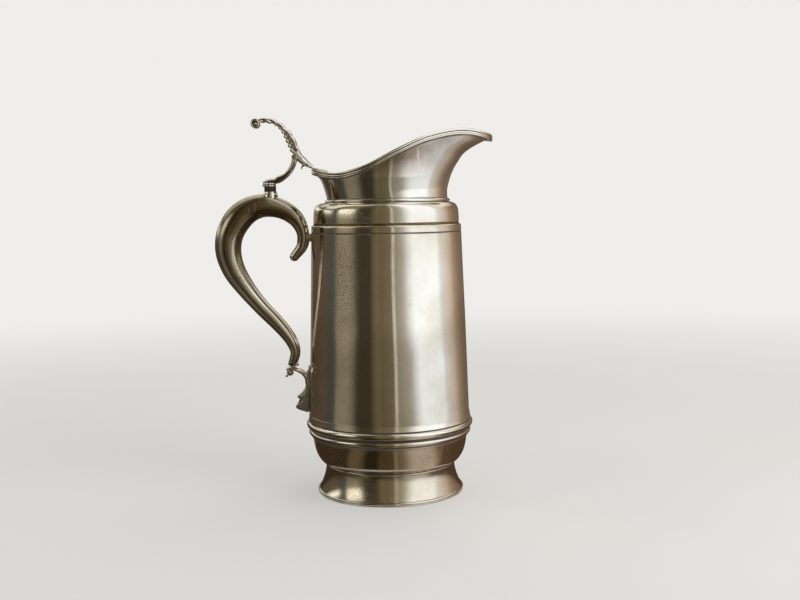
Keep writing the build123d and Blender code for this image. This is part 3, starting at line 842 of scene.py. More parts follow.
class RowTree:
    """A Geometry Nodes tree that sets the same small shape along a path."""

    sizes = {"Radius": 1.0, "Taper": 0.0, "Length": 1.0, "Lean": 0.0}

    def __init__(self, name: str, material: bpy.types.Material) -> None:
        """Build the tree.

        Args:
            name: the tree's name.
            material: what the shapes are made of.
        """
        self.group = bpy.data.node_groups.new(name, "GeometryNodeTree")
        face = self.group.interface
        face.new_socket("Geometry", in_out="INPUT", socket_type="NodeSocketGeometry")
        self.keys = {}
        for label in ("Count", *self.sizes):
            kind = "NodeSocketInt" if label == "Count" else "NodeSocketFloat"
            self.keys[label] = face.new_socket(label, in_out="INPUT", socket_type=kind).identifier
        face.new_socket("Geometry", in_out="OUTPUT", socket_type="NodeSocketGeometry")
        given = self._add("NodeGroupInput").outputs
        curve = self._out("GeometryNodeMeshToCurve", {"Mesh": given["Geometry"]})
        even = self._out("GeometryNodeResampleCurve", {"Curve": curve, "Count": given["Count"]})
        ball = {"Radius": given["Radius"], "Subdivisions": 3}
        ball = self._out("GeometryNodeMeshIcoSphere", ball)
        ball = self._out("GeometryNodeSetShadeSmooth", {"Geometry": ball})
        share = self._add("GeometryNodeSplineParameter").outputs["Factor"]
        size = self._out("ShaderNodeMath", {0: share, 1: given["Taper"]}, operation="MULTIPLY")
        size = self._out("ShaderNodeMath", {0: 1.0, 1: size}, operation="SUBTRACT")
        longer = self._out("ShaderNodeMath", {0: size, 1: given["Length"]}, operation="MULTIPLY")
        scale = self._out("ShaderNodeCombineXYZ", {"X": size, "Y": size, "Z": longer})
        aim = {"Vector": self._out("GeometryNodeInputTangent")}
        aim = self._out("FunctionNodeAlignRotationToVector", aim, axis="Z")
        tilt = self._out("ShaderNodeCombineXYZ", {"Y": given["Lean"]})
        tilt = self._out("FunctionNodeEulerToRotation", {"Euler": tilt})
        aim = self._out("FunctionNodeRotateRotation", {"Rotation": aim, "Rotate By": tilt})
        row = {"Points": even, "Instance": ball, "Rotation": aim, "Scale": scale}
        row = self._out("GeometryNodeInstanceOnPoints", row)
        real = self._out("GeometryNodeRealizeInstances", {"Geometry": row})
        made = self._out("GeometryNodeSetMaterial", {"Geometry": real, "Material": material})
        self._add("NodeGroupOutput", {"Geometry": made})

    def _add(self, kind: str, inputs: dict | None = None, **settings: str) -> bpy.types.Node:
        """Add one node.

        Args:
            kind: the node's type.
            inputs: values or sockets by input name or index.
            settings: its properties, which are set first.

        Returns:
            The node.
        """
        node = self.group.nodes.new(kind)
        for key, value in settings.items():
            setattr(node, key, value)
        for key, value in (inputs or {}).items():
            if isinstance(value, bpy.types.NodeSocket):
                self.group.links.new(value, node.inputs[key])
            else:
                node.inputs[key].default_value = value
        return node

    def _out(self, kind: str, inputs: dict | None = None, **settings: str) -> bpy.types.NodeSocket:
        """Add one node and return its first output."""
        return self._add(kind, inputs, **settings).outputs[0]

    def row(self, path: Sequence[Vector], count: int, **sizes: float) -> bpy.types.Mesh:
        """Set the shapes along a path.

        Args:
            path: the path's points, in millimetres.
            count: how many shapes.
            sizes: the tree's other inputs, the radius in millimetres.

        Returns:
            A plain mesh.
        """
        mesh = bpy.data.meshes.new("path")
        edges = [(index, index + 1) for index in range(len(path) - 1)]
        mesh.from_pydata([tuple(point * MM) for point in path], edges, [])
        holder = link("path", mesh)
        modifier = holder.modifiers.new("row", "NODES")
        modifier.node_group = self.group
        modifier[self.keys["Count"]] = count
        for label, value in (self.sizes | sizes).items():
            modifier[self.keys[label]] = value * MM if label == "Radius" else value
        held = holder.evaluated_get(bpy.context.evaluated_depsgraph_get())
        made = bpy.data.meshes.new_from_object(held)
        holder.modifiers.remove(modifier)
        bpy.data.objects.remove(holder)
        return made


class Assembly:
    """Puts pieces on their body, in their finish, for the solids that they stand for."""

    body = "jug"
    made: dict[str, bpy.types.Material] = {}
    pieces: tuple = ()
    kept: tuple = ()

    def stuff(self, finish: Finish) -> bpy.types.Material:
        """A finish's material, built once.

        Args:
            finish: the finish.

        Returns:
            The material.
        """
        if finish.name not in self.made:
            self.made[finish.name] = finish.material()
        return self.made[finish.name]

    def place(self, piece: bpy.types.Object, finish: Finish, *nodes: str) -> bpy.types.Object:
        """Finish a new piece.

        Args:
            piece: the piece.
            finish: its finish.
            nodes: the solids that it stands for.

        Returns:
            The piece.
        """
        piece.data.materials.clear()
        piece.data.materials.append(self.stuff(finish))
        for name in ("spots", "shade_and_tarnish_film"):
            if name not in piece.data.attributes:
                paint(piece, name, np.zeros(len(piece.data.vertices)))
        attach(piece, self.body)
        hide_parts(*nodes)
        LOG.info("%s: %d points, %s", piece.name, len(piece.data.vertices), finish.name)
        return piece

    def dress(self, node: bpy.types.Object, finish: Finish) -> None:
        """Give a solid that stays its finish.

        Args:
            node: the solid's object.
            finish: its finish.
        """
        for index in range(len(node.data.materials)):
            node.data.materials[index] = self.stuff(finish)
        LOG.info("%s keeps its solid, %s", node.name, finish.name)

    def build(self, nodes: dict[str, bpy.types.Object]) -> None:
        """Make the assembly's pieces and dress the solids that it keeps.

        Args:
            nodes: the solids' objects.
        """
        for make, finish, node in self.pieces:
            self.place(make(self), finish, node)
        for name, finish in self.kept:
            self.dress(nodes[name], finish)


@dataclass
class Foot(Assembly):
    """The spun foot and its rim wire."""

    rim_radius: float = 55.2
    rim_height: float = 3.2
    rim_width: float = 4.4
    waist_radius: float = 48.5
    height: float = 22.6
    wall: float = 0.9
    hollow: Pair = (50.5, 10.6)
    hollow_inside: Pair = (49.4, 10.6)
    flange_radius: float = 30.0
    bead: Pair = (0.7, 1.3)
    spots: tuple[Patch, ...] = (
        (0.8, (-20, -48, 10), (22, 30, 12)), (0.4, (44, -30, 12), (12, 20, 10)),
    )

    @staticmethod
    def wander(turn: float, height: float) -> float:
        """How far the skirt stands off a true round."""
        return 0.12 * math.sin(2 * turn + 0.7) * math.sin(height * 0.14)

    def cone(self) -> bpy.types.Object:
        """The skirt with its top bead and inner flange.

        Returns:
            The piece.
        """
        radius, top, wall = self.waist_radius, self.height, self.wall
        foot = (self.rim_radius - 1.1, self.rim_height - 0.3)
        low = top - self.bead[1]
        line = arc(foot, self.hollow, (radius, low), 30)
        bead = (radius + self.bead[0], low + self.bead[1] / 2)
        line += arc((radius, low), bead, (radius, top), 8)[1:]
        line += [(self.flange_radius, top), (self.flange_radius, top - wall)]
        line += arc((radius - wall, top - wall), self.hollow_inside, (foot[0] - 1.2, foot[1]), 12)
        made = spun("foot_skirt", line, warp=self.wander)
        paint(made, "spots", blots(points_of(made), self.spots))
        return made

    def rim(self) -> bpy.types.Object:
        """The rim: a round bead over a flat standing edge.

        Returns:
            The piece.
        """
        out, width, high = self.rim_radius, self.rim_width, self.rim_height
        line = round_corners([
            (out - width, 0.0, 0.5), (out - 0.5, 0.0, 0.35), (out - 0.1, 0.8, 0.2),
            (out - 0.45, 1.0, 0.1), (out, 1.6, 0.6), (out - 0.2, high - 0.3, 1.0),
            (out - 1.3, high, 0.5), (out - width, high, 0.5),
        ], 5)
        return spun("foot_rim_wire", line)

    pieces = ((cone, FOOT_PLATE, "foot_cone"), (rim, WIRE_PLATE, "foot_rim"))


@dataclass
class Bowl(Assembly):
    """The cup over the foot and the banding round it."""

    bottom: float = 22.6
    waist: float = 48.5
    top_radius: float = 58.0
    band_bottom: float = 42.6
    ledge: float = 50.0
    wall: float = 0.9
    bulge: tuple[Pair, ...] = ((51.8, 24.4), (54.4, 27.8), (56.2, 31.6), (57.2, 35.6), (57.8, 39.2))
    moulding: tuple = (
        ((59.4, 44.5), (61.15, 46.3), (60.1, 48.0), 16),
        ((59.7, 48.6), (59.55, 49.0), (59.9, 49.4), 4),
        ((60.5, 49.7), (62.78, 52.3), (61.4, 54.4), 18),
        ((61.0, 54.6), (60.85, 54.9), (61.05, 55.3), 4),
        ((61.3, 55.6), (60.95, 57.4), (60.68, 59.6), 12),
    )
    seams: tuple[float, ...] = (44.3, 48.9, 54.85)
    spots: tuple[Patch, ...] = (
        (0.7, (30, -50, 36), (20, 25, 8)), (0.6, (-38, -40, 34), (14, 25, 8)),
    )

    @staticmethod
    def wander(turn: float, height: float) -> float:
        """How far the cup stands off a true round."""
        return 0.1 * math.sin(3 * turn + 1.1) * math.sin(max(height - 24, 0) * 0.15)

    def cup(self) -> bpy.types.Object:
        """The spun cup.

        Returns:
            The piece.
        """
        top, wall = self.top_radius, self.wall
        curve = smooth([(self.waist, self.bottom), *self.bulge, (top, self.band_bottom)], 7)
        line = [(0.01, self.bottom), *curve, (top, self.ledge), (top - wall, self.ledge)]
        line += [(r - wall, z + 0.5) for r, z in reversed(curve[3:])]
        line += [(0.01, self.bottom + wall)]
        made = spun("lower_cup", line, warp=self.wander)
        at = points_of(made)
        paint(made, "spots", blots(at, self.spots))
        # Painted shade: a dark line under the banding ring's lower edge and where the cup meets the
        # foot.
        darken(made, at[:, 2] - self.band_bottom, 0.8, 0.8)
        darken(made, at[:, 2] - self.bottom, 0.8, 0.9)
        return made

    def banding(self) -> bpy.types.Object:
        """The moulded ring: two beads with a groove between them, and a flare at its top.

        Returns:
            The piece.
        """
        line = [(58.0, self.band_bottom), (59.0, self.band_bottom), (59.1, 44.2)]
        for start, middle, end, steps in self.moulding:
            line += arc(start, middle, end, steps)
        line += [(60.3, 59.6), (60.6, self.ledge + 0.2), (58.0, self.ledge)]
        made = spun("banding_ring", line, 224)
        # Dark lines in the grooves between the beads: tarnish with painted shade.
        for height in self.seams:
            darken(made, points_of(made)[:, 2] - height, 0.9, 0.4)
        return made

    pieces = ((cup, FOOT_PLATE, "lower_bowl"), (banding, WIRE_PLATE, "band_moulding"))


@dataclass
class Body(Assembly):
    """The tall casing, the collar in its mouth and the shoulder cap."""

    bottom: float = 50.0
    top: float = 200.9
    bottom_radius: float = 60.6
    top_radius: float = 55.85
    line_height: float = 195.5
    shoulder_radius: float = 54.25
    shoulder_bottom: float = 202.3
    shoulder_top: float = 217.6
    bore: float = 41.0
    wall: float = 0.9
    groove: tuple[Pair, ...] = (
        (-0.24, 0.0), (-0.2, 0.3), (-0.05, 0.36), (0.12, 0.3), (0.34, 0.1), (0.55, 0.0),
    )
    dents: tuple = ((0.35, 5.35, 96.0, 11.0, 14.0), (0.25, 4.2, 128.0, 9.0, 10.0))
    dome: tuple[Pair, ...] = (
        (0.0, 0.0), (0.02, 2.5), (-0.1, 5.5), (-0.36, 8.5), (-0.85, 10.8), (-1.9, 12.7), (-3.7, 14.1),
        (-6.2, 14.9), (-9.0, 15.3),
    )
    ring_middle: float = 1.2
    ring_radius: float = 46.2
    casing_spots: tuple[Patch, ...] = (
        (0.9, (-30, -48, 176), (13, 30, 34)), (0.75, (-31, -50, 116), (12, 30, 45)),
        (0.5, (48, -40, 66), (16, 30, 12)), (0.4, (-10, 58, 150), (25, 30, 40)),
        (1.2, (15.3, -55.7, 145.0), (1.1, 4, 1.3)),
    )
    shoulder_spots: tuple[Patch, ...] = (
        (0.65, (-30, -45, 211), (15, 20, 6)), (0.8, (-14, -52, 206), (14, 20, 4)),
    )

    def share(self, height: float) -> float:
        """How far up the casing a height is, from 0 to 1."""
        return (height - self.bottom) / (self.top - self.bottom)

    def radius(self, height: float) -> float:
        """Outer radius of the casing at a height."""
        return self.bottom_radius + (self.top_radius - self.bottom_radius) * self.share(height)

    def wander(self, turn: float, height: float) -> float:
        """How far the old sheet stands off a true cone.

        Args:
            turn: the angle.
            height: the height.

        Returns:
            The change of radius: soft waves less a few dents, nothing at both edges.
        """
        hold = max(math.sin(math.pi * min(max(self.share(height), 0.0), 1.0)), 0.0)
        wave = 0.1 * math.sin(3 * turn + 0.4 + height * 0.012)
        wave += 0.06 * math.sin(7 * turn - height * 0.03)
        wave += 0.05 * math.sin(5 * turn + height * 0.05 + 2.0)
        dent = 0.0
        for depth, way, middle, wide, tall in self.dents:
            away = ((turn - way) * 58 / wide) ** 2
            dent += depth * math.exp(-away - ((height - middle) / tall) ** 2)
        return hold * (wave - dent)

    def casing(self) -> bpy.types.Object:
        """The rolled cone with its engraved line.

        Returns:
            The piece.
        """
        lip, top, mark = self.top_radius, self.top, self.line_height
        rows = [self.bottom + (mark - 1.4 - self.bottom) * step / 76 for step in range(77)]
        outer = [(self.radius(z), z) for z in rows]
        outer += [(self.radius(mark + rise) - depth, mark + rise) for rise, depth in self.groove]
        outer += [(self.radius(z), z) for z in (mark + 0.9, top - 1.8)]
        outer += arc((lip + 0.04, top - 1.6), (lip - 0.22, top - 0.45), (lip - 0.8, top), 8)
        line = [*outer, (lip - self.wall, top), (self.bottom_radius - self.wall, self.bottom)]
        made = spun("casing_shell", line, 224, self.wander)
        at = points_of(made)
        paint(made, "spots", blots(at, self.casing_spots))
        # A dark line along the engraved line: tarnish in it, with painted shade.
        darken(made, at[:, 2] - mark, 1.0, 0.35)
        return made

    def shoulder(self) -> bpy.types.Object:
        """The spun cap with its rounded corner.

        Returns:
            The piece.
        """
        r, low, high, wall = self.shoulder_radius, self.shoulder_bottom, self.shoulder_top, self.wall
        outer = smooth([(r + out, low + rise) for out, rise in self.dome], 6)
        line = [*outer, (self.bore, high), (self.bore, high - wall), (r - 6.0, high - 1.6)]
        line += [(r - 2.6, low + 12.2), (r - wall, low + 8.0), (r - wall, low)]
        made = spun("shoulder_cap", line, warp=lambda turn, z: (
            0.08 * math.sin(3 * turn + 2.0) + 0.05 * math.sin(7 * turn)
        ))
        at = points_of(made)
        paint(made, "spots", blots(at, self.shoulder_spots))
        # Painted shadow along the seam where the shoulder meets the casing.
        darken(made, at[:, 2] - low, 1.0, 0.5)
        # Painted shade on the shoulder's top round the neck's foot ring.
        ring = np.hypot(at[:, 0] - self.ring_middle, at[:, 1]) - self.ring_radius
        darken(made, np.where(at[:, 2] > high - 1.0, ring, np.inf), 0.8, 0.9)
        return made

    pieces = ((casing, BODY_PLATE, "casing"), (shoulder, SPUN_PLATE, "shoulder"))
    kept = (("body_collar", BRASS),)


@dataclass
class Mouth:
    """The rule that neck, rim and lid follow: plan sections by height, and the parting line."""

    base: float = 217.6
    turns: int = 288
    sections: tuple = (
        (0.0, 1.5, 44.6, 46.3, 43.2), (8.4, 0.3, 45.4, 45.9, 45.2), (16.4, 0.2, 46.6, 47.8, 47.9),
        (20.4, 0.2, 46.9, 49.3, 51.0), (24.4, 0.2, 47.1, 51.2, 55.4), (29.4, 0.2, 47.3, 54.4, 59.8),
        (34.4, 0.2, 47.4, 58.0, 62.6), (38.4, 0.2, 47.4, 63.2, 64.0), (42.4, 0.2, 47.4, 70.6, 64.0),
        (46.4, 0.2, 47.4, 80.2, 64.0), (52.4, 0.2, 47.4, 104.0, 64.0),
    )
    parting: tuple = (
        (-62.0, 25.4), (-47.0, 21.4), (-33.0, 19.7), (-14.0, 24.2), (11.0, 36.4), (32.0, 45.3),
        (58.5, 49.8), (84.0, 44.5), (104.0, 34.4),
    )
    spout_sharpness: float = 3.0
    spout_pinch: float = 0.4
    tongue_sharpness: float = 6.0
    tongue_pinch: float = 0.5
    edge: list[Vector] = field(default_factory=list)
    outward: list[Vector] = field(default_factory=list)

    def __post_init__(self) -> None:
        """Work out the mouth's outline and which way is out along it."""
        for turn in angles(self.turns):
            height = self.base + 50.0
            for _ in range(40):
                point = self.outline(turn, height)
                height += 0.5 * (self.height(point.x) - height)
            self.edge.append(Vector((point.x, point.y, 0.0)))
        for index, point in enumerate(self.edge):
            along = (self.edge[(index + 1) % self.turns] - self.edge[index - 1]).normalized()
            self.outward.append(Vector((along.y, -along.x, 0.0)))

    def height(self, x: float) -> float:
        """Height of the parting line at x."""
        return self.base + follow(self.parting, x)[0]

    def outline(self, turn: float, height: float) -> Vector:
        """Point of the plan section at a height.

        Args:
            turn: the point's angle.
            height: the section's height.

        Returns:
            The point.
        """
        centre, radius, front, back = follow(self.sections, height - self.base)
        spout = ((1 + math.cos(turn)) / 2) ** self.spout_sharpness * (front - centre - radius)
        tongue = ((1 - math.cos(turn)) / 2) ** self.tongue_sharpness * (back + centre - radius)
        pinch = 1 - (self.spout_pinch * spout + self.tongue_pinch * tongue) / radius
        x = centre + radius * math.cos(turn) + spout - tongue
        return Vector((x, radius * math.sin(turn) * pinch, height))

    def bead(self, section: Sequence[Pair]) -> list[list[Vector]]:
        """A section carried round the mouth.

        Args:
            section: how far out and how high over the parting line each of its points lies.

        Returns:
            One row for each point of the section.
        """
        rows = []
        for out, rise in section:
            row = []
            for point, away in zip(self.edge, self.outward):
                at = point + away * out
                row.append(Vector((at.x, at.y, self.height(at.x) + rise)))
            rows.append(row)
        return rows


@dataclass
class Spout(Assembly):
    """The neck with its foot ring and the rim wire."""

    mouth: Mouth
    wall: float = 0.9
    ring_height: float = 2.3
    rings: int = 56
    spots: tuple[Patch, ...] = (
        (0.6, (45, -20, 238), (14, 20, 10)), (0.4, (-25, -40, 228), (14, 20, 8)),
    )
    # Painted dark reflection with tarnish on the neck, most of it on the side towards the camera.
    shade_and_tarnish_film: tuple[Patch, ...] = (
        (1.0, (8, -45, 252), (30, 30, 13)), (0.5, (48, -30, 264), (24, 40, 14)),
        (0.3, (-42, -20, 232), (14, 20, 20)), (0.35, (30, 50, 245), (40, 20, 20)),
    )

    def row(self, ring: int, inner: bool) -> list[Vector]:
        """One row of the neck's points.

        Args:
            ring: the row, from the neck's foot to the mouth.
            inner: for the inner side.

        Returns:
            The points.
        """
        base, share, row = self.mouth.base, ring / self.rings, []
        for turn, edge, away in zip(angles(self.mouth.turns), self.mouth.edge, self.mouth.outward):
            top = self.mouth.height(edge.x) - 1.0
            height = base + (top - base) * ring / self.rings
            point = self.mouth.outline(turn, height)
            wave = 0.1 * math.sin(3 * turn + height * 0.06) + 0.06 * math.sin(8 * turn - height * 0.1)
            point += away * (wave * math.sin(math.pi * share))
            if inner:
                point -= away * self.wall
                point.z += 0.5 * self.wall * share
            row.append(point)
        return row

    def neck(self) -> bpy.types.Object:
        """The raised shell, thick as the sheet.

        Returns:
            The piece.
        """
        rows = [self.row(ring, False) for ring in range(self.rings + 1)]
        rows += [self.row(ring, True) for ring in range(self.rings, -1, -1)]
        made = ringed("neck_shell", rows)
        at = points_of(made)
        paint(made, "spots", blots(at, self.spots))
        paint(made, "shade_and_tarnish_film", blots(at, self.shade_and_tarnish_film, 0.9))
        # Painted shade along the join above the neck's foot ring.
        darken(made, at[:, 2] - self.mouth.base - self.ring_height, 0.9, 0.6)
        # Painted shadow under the rim wire.
        under = np.array([self.mouth.height(x) for x in at[:, 0]]) - at[:, 2]
        darken(made, under - 2.7, 0.75, 0.9)
        return made

    def ring(self) -> bpy.types.Object:
        """The wire ring round the neck's foot.

        Returns:
            The piece.
        """
        line = round_corners([
            (-0.4, 0.0, 0.2), (1.6, 0.0, 0.5), (1.75, 1.1, 0.7), (1.35, 2.0, 0.7), (-0.4, 2.3, 0.2),
        ], 5)
        base, ways = self.mouth.base, []
        for turn in angles(self.mouth.turns):
            before, point, after = (
                self.mouth.outline(at, base + 2.0) for at in (turn - 0.02, turn, turn + 0.02)
            )
            along = after - before
            ways.append((point, Vector((along.y, -along.x, 0)).normalized()))
        return ringed("neck_foot_ring", [
            [Vector((point.x, point.y, base + rise)) + away * out for point, away in ways]
            for out, rise in line
        ])

    def rim(self) -> bpy.types.Object:
        """The rim: a round wire over a thin second bead.

        Returns:
            The piece.
        """
        line = round_corners([
            (-1.1, -0.05, 0.35), (0.75, -0.05, 0.5), (1.0, -0.75, 0.45), (0.6, -1.35, 0.25),
            (0.45, -1.5, 0.08), (0.8, -1.75, 0.3), (0.75, -2.3, 0.3), (0.0, -2.4, 0.2),
            (-1.1, -2.3, 0.3),
        ], 5)
        return ringed("rim_wire", self.mouth.bead(line))

    pieces = (
        (neck, NECK_PLATE, "neck"), (ring, WIRE_PLATE, "neck_ring"), (rim, WIRE_PLATE, "spout_rim"),
    )


@dataclass
class Lid(Assembly):
    """The lid: plate, wire edge, bezel and the strap that carries it."""

    mouth: Mouth
    gap: float = 0.35
    thickness: float = 1.0
    crown: float = 1.3
    hinge: Pair = HINGE
    arm_over: tuple[Pair, ...] = ((9.2, -4.9), (6.4, -2.8), (3.6, -0.2), (1.2, 1.5))
    arm_under: tuple[Pair, ...] = ((8.4, -7.2), (4.8, -5.3), (2.0, -3.2), (0.1, -1.4))
    tip_front: tuple[Pair, ...] = ((5.2, -4.6), (4.6, -6.4), (4.3, -8.0), (4.5, -9.3))
    tip_back: tuple[Pair, ...] = ((8.4, -6.8), (6.8, -7.0), (5.4, -8.0), (4.7, -9.4))
    knuckle: tuple[Pair, ...] = (
        (0.0, 1.5), (0.04, 1.85), (0.12, 2.0), (0.42, 1.95), (0.5, 1.82), (0.58, 1.95), (0.88, 2.0),
        (0.96, 1.85), (1.0, 1.5),
    )
    spots: tuple[Patch, ...] = (
        (0.7, (-20, 10, 245), (20, 16, 20)), (0.5, (40, -12, 265), (20, 14, 20)),
    )
    body = "lid"

    def plate(self) -> bpy.types.Object:
        """The low crowned sheet.

        Returns:
            The piece.
        """
        centre, rings = Vector((6.0, 0.0, 0.0)), 42
        rows = []
        for side, levels in ((1, range(1, rings + 1)), (-1, range(rings, 0, -1))):
            for level in levels:
                share = level / rings
                row = []
                for point, away in zip(self.mouth.edge, self.mouth.outward):
                    at = centre + (point - away * 1.0 - centre) * share
                    rise = self.gap + (self.thickness if side > 0 else 0.0)
                    swell = self.crown * (1 - share**2) ** 2 * (1.0 if side > 0 else 0.9)
                    row.append(Vector((at.x, at.y, self.mouth.height(at.x) + rise + swell)))
                rows.append(row)
        piece = Cast("lid_sheet")
        piece.grid(rows, caps=True)
        made = piece.bound()
        paint(made, "spots", blots(points_of(made), self.spots))
        return made

    def wire(self) -> bpy.types.Object:
        """The lid's wire edge.

        Returns:
            The piece.
        """
        gap = self.gap
        line = round_corners([
            (-1.0, gap, 0.3), (0.75, gap, 0.4), (1.0, gap + 0.8, 0.5), (0.55, gap + 1.6, 0.55),
            (-0.4, gap + 1.8, 0.6), (-1.0, gap + 1.2, 0.3),
        ], 5)
        return ringed("lid_edge_wire", self.mouth.bead(line))

    def strap(self) -> bpy.types.Object:
        """The leaf on the lid, its arm with the hanging tip, and the middle knuckle.

        Returns:
            The piece.
        """
        hx, hz = self.hinge
        over = [(x, self.mouth.height(x) + self.gap + 3.35) for x in (-43.0, -46.0, -50.0, -53.6)]
        under = [(x, z - 1.5) for x, z in over]
        outer = spread([*over, *beside(self.hinge, self.arm_over)], 48)
        inner = spread([*under, *beside(self.hinge, self.arm_under)], 48)

        def width(share: float) -> float:
            """A lobed leaf that runs into a slim arm.

            Args:
                share: how far along the leaf.

            Returns:
                Half the leaf's width.
            """
            lobes = 0.84 + 0.16 * abs(math.cos(share * 11.0))
            wide = 5.9 * math.sin(math.pi * min(share / 0.66 + 0.03, 1.0)) ** 0.55 * lobes
            return max(wide, 1.85 if share > 0.3 else 0.5)

        piece = Cast("lid_strap_leaf")
        piece.leaf(outer, inner, width, ribs=0.35, veins=1.5, power=0.7)
        piece.rod(Vector((hx, -1.98, hz)), Vector((hx, 1.98, hz)), self.knuckle)
        front, back = (spread(beside(self.hinge, tip), 14) for tip in (self.tip_front, self.tip_back))
        piece.leaf(front, back, lambda u: 2.2 * (1 - u * u) + 0.25, ribs=0.3, veins=1.0)
        return piece.bound()

    pieces = (
        (plate, LID_PLATE, "lid_plate"), (wire, WIRE_PLATE, "lid_wire"),
        (strap, CAST_SILVER, "lid_strap"),
    )
    kept = (("lid_bezel", LID_PLATE),)


@dataclass
class Thumbpiece(Assembly):
    """The cast scroll: a leaf blade with a pearled edge that ends in a volute."""

    volute: Pair = (-95.4, 277.1)
    upper: tuple = (
        (-93.8, 279.9), (-90.6, 280.6), (-86.7, 280.7), (-83.6, 280.0), (-80.6, 278.7), (-77.8, 277.1),
        (-75.3, 275.1), (-73.2, 272.8), (-71.2, 270.9), (-69.5, 268.8), (-67.7, 265.8), (-66.2, 262.4),
        (-65.3, 259.6), (-64.2, 257.0), (-62.3, 254.0), (-59.2, 250.7), (-56.4, 247.7), (-53.8, 245.6),
    )
    lower: tuple = (
        (-84.6, 278.4), (-81.1, 276.4), (-78.7, 274.9), (-77.0, 272.8), (-75.1, 270.2), (-73.7, 267.4),
        (-72.5, 264.6), (-71.4, 262.0), (-70.0, 259.3), (-69.0, 256.9), (-67.9, 254.8),
    )
    crest: tuple = ((-93.2, 279.6), (-90.4, 280.3), (-87.2, 280.3), (-84.2, 279.6), (-82.4, 278.6))
    belly: tuple = ((-92.6, 278.3), (-90.2, 277.5), (-87.6, 277.9), (-85.6, 276.9), (-83.2, 277.0))
    root_over: tuple[Pair, ...] = ((-1.6, 5.6), (0.8, 4.4), (3.0, 1.8), (5.4, -1.0))
    root_under: tuple[Pair, ...] = ((-2.4, 3.4), (-0.4, 2.0), (1.8, 0.2), (4.4, -2.4))
    half_width: float = 3.4
    stations: int = 90
    drops: int = 8
    hinge: Pair = HINGE
    body = "lid"

    def blade(self, piece: Cast) -> None:
        """The leaf shaped back strand, the bead's rail and the sunk web between them.

        Args:
            piece: the casting.
        """

        def lobes(share: float) -> float:
            """How far a lobe stands out."""
            return abs(math.sin(share * math.pi * 7.5)) ** 0.8

        def back(share: float) -> Pair:
            """Sizes of the lobed back strand.

            Args:
                share: how far along the strand.

            Returns:
                Half its thickness and half its width.
            """
            slim = 1 - 0.4 * max(share - 0.7, 0.0) / 0.3
            thick = 0.52 + 0.36 * lobes(share) * math.sin(math.pi * share)
            return thick * slim, self.half_width * (0.62 + 0.38 * lobes(share)) * slim

        def back_curl(share: float, side: float) -> float:
            """The leaf's lobes roll down and its veins stand up."""
            roll = (0.4 + 0.9 * (1 - lobes(share))) * math.sin(math.pi * min(share * 1.25, 1.0))
            return -roll * side * side + 0.1 * math.cos(11 * side)

        piece.strip(spread(self.upper, self.stations), back, back_curl)
        piece.strip(spread(self.lower, self.stations), lambda u: (0.42, 1.2 + 1.0 * u))
        web_upper, web_lower = spread(self.upper[3:-4], 46), spread(self.lower, 46)
        # The web and the crest leaf are darkened through the recess attribute: tarnish with painted
        # shade.
        piece.leaf(web_upper, web_lower, lambda u: 1.0 + 0.5 * u, tarnish_and_shade=0.62, power=0.45)
        piece.leaf(
            spread(self.crest, 30), spread(self.belly, 30),
            lambda u: 1.2 + 1.9 * math.sin(math.pi * u),
            ribs=0.4, veins=2.0, tarnish_and_shade=0.35, power=0.8,
        )

    def scroll(self, piece: Cast) -> None:
        """The volute: a rolled tape round a sunk disc with an eye.

        Args:
            piece: the casting.
        """
        cx, cz = self.volute
        line = []
        for step in range(73):
            share = step / 72
            turn = math.radians(62) + share * math.tau * 1.12
            radius = 2.9 - 0.9 * share**3
            line.append((cx + radius * math.cos(turn), cz + radius * math.sin(turn)))
        piece.strip(line, lambda u: (0.66 - 0.12 * u, 4.2), lambda u, v: 0.2 * v * v)
        before = len(piece.tarnish_and_shade)
        piece.rod(Vector((cx, -3.3, cz)), Vector((cx, 3.3, cz)), [(0.0, 2.4), (0.5, 2.4), (1.0, 2.4)])
        # The sunk disc is darkened almost fully: tarnish with painted shade in the hollow.
        piece.tarnish_and_shade[before:] = [0.95] * (len(piece.tarnish_and_shade) - before)
        for side in (1, -1):
            piece.strip(line, lambda u: (0.74 - 0.14 * u, 0.8), sides=20, shift=side * 3.7)
            piece.ball(Vector((cx + 0.3, side * 3.6, cz - 0.4)), 1.15)

    def root(self, piece: Cast) -> None:
        """The swelling where the blade stands on the strap.

        Args:
            piece: the casting.
        """
        lines = (self.root_over, self.root_under)
        outer, inner = (spread(beside(self.hinge, line), 20) for line in lines)
        piece.leaf(outer, inner, lambda u: 2.4 - 0.5 * u, ribs=0.25, veins=1.5, power=0.8)

    def casting(self) -> bpy.types.Object:
        """The scroll with its pearls and lattice bars as one casting.

        Returns:
            The piece.
        """
        piece = Cast("thumb_scroll")
        self.blade(piece)
        self.scroll(piece)
        self.root(piece)
        body = piece.bound()
        drops = RowTree("drop_row", self.stuff(CAST_SILVER))
        rail, back = spread(self.lower, 60), spread(self.upper[3:-4], 60)
        parts = []
        for side in (1, -1):
            edge = [Vector((x, side * (1.1 + 0.9 * i / 60), z)) for i, (x, z) in enumerate(rail)]
            parts.append(drops.row(edge[2:-5], self.drops, Radius=0.86, Taper=-0.6, Length=1.3))
            middle = [
                Vector(((ax + bx) / 2, side * (1.0 + 0.5 * i / 60), (az + bz) / 2))
                for i, ((ax, az), (bx, bz)) in enumerate(zip(rail, back))
            ][8:-8]
            for lean in (0.8, -0.8):
                bars = {"Radius": 0.25, "Taper": -0.3, "Length": 8.0, "Lean": lean}
                parts.append(drops.row(middle, self.drops, **bars))
        return join_meshes(body, parts)

    pieces = ((casting, CAST_SILVER, "thumbpiece"),)


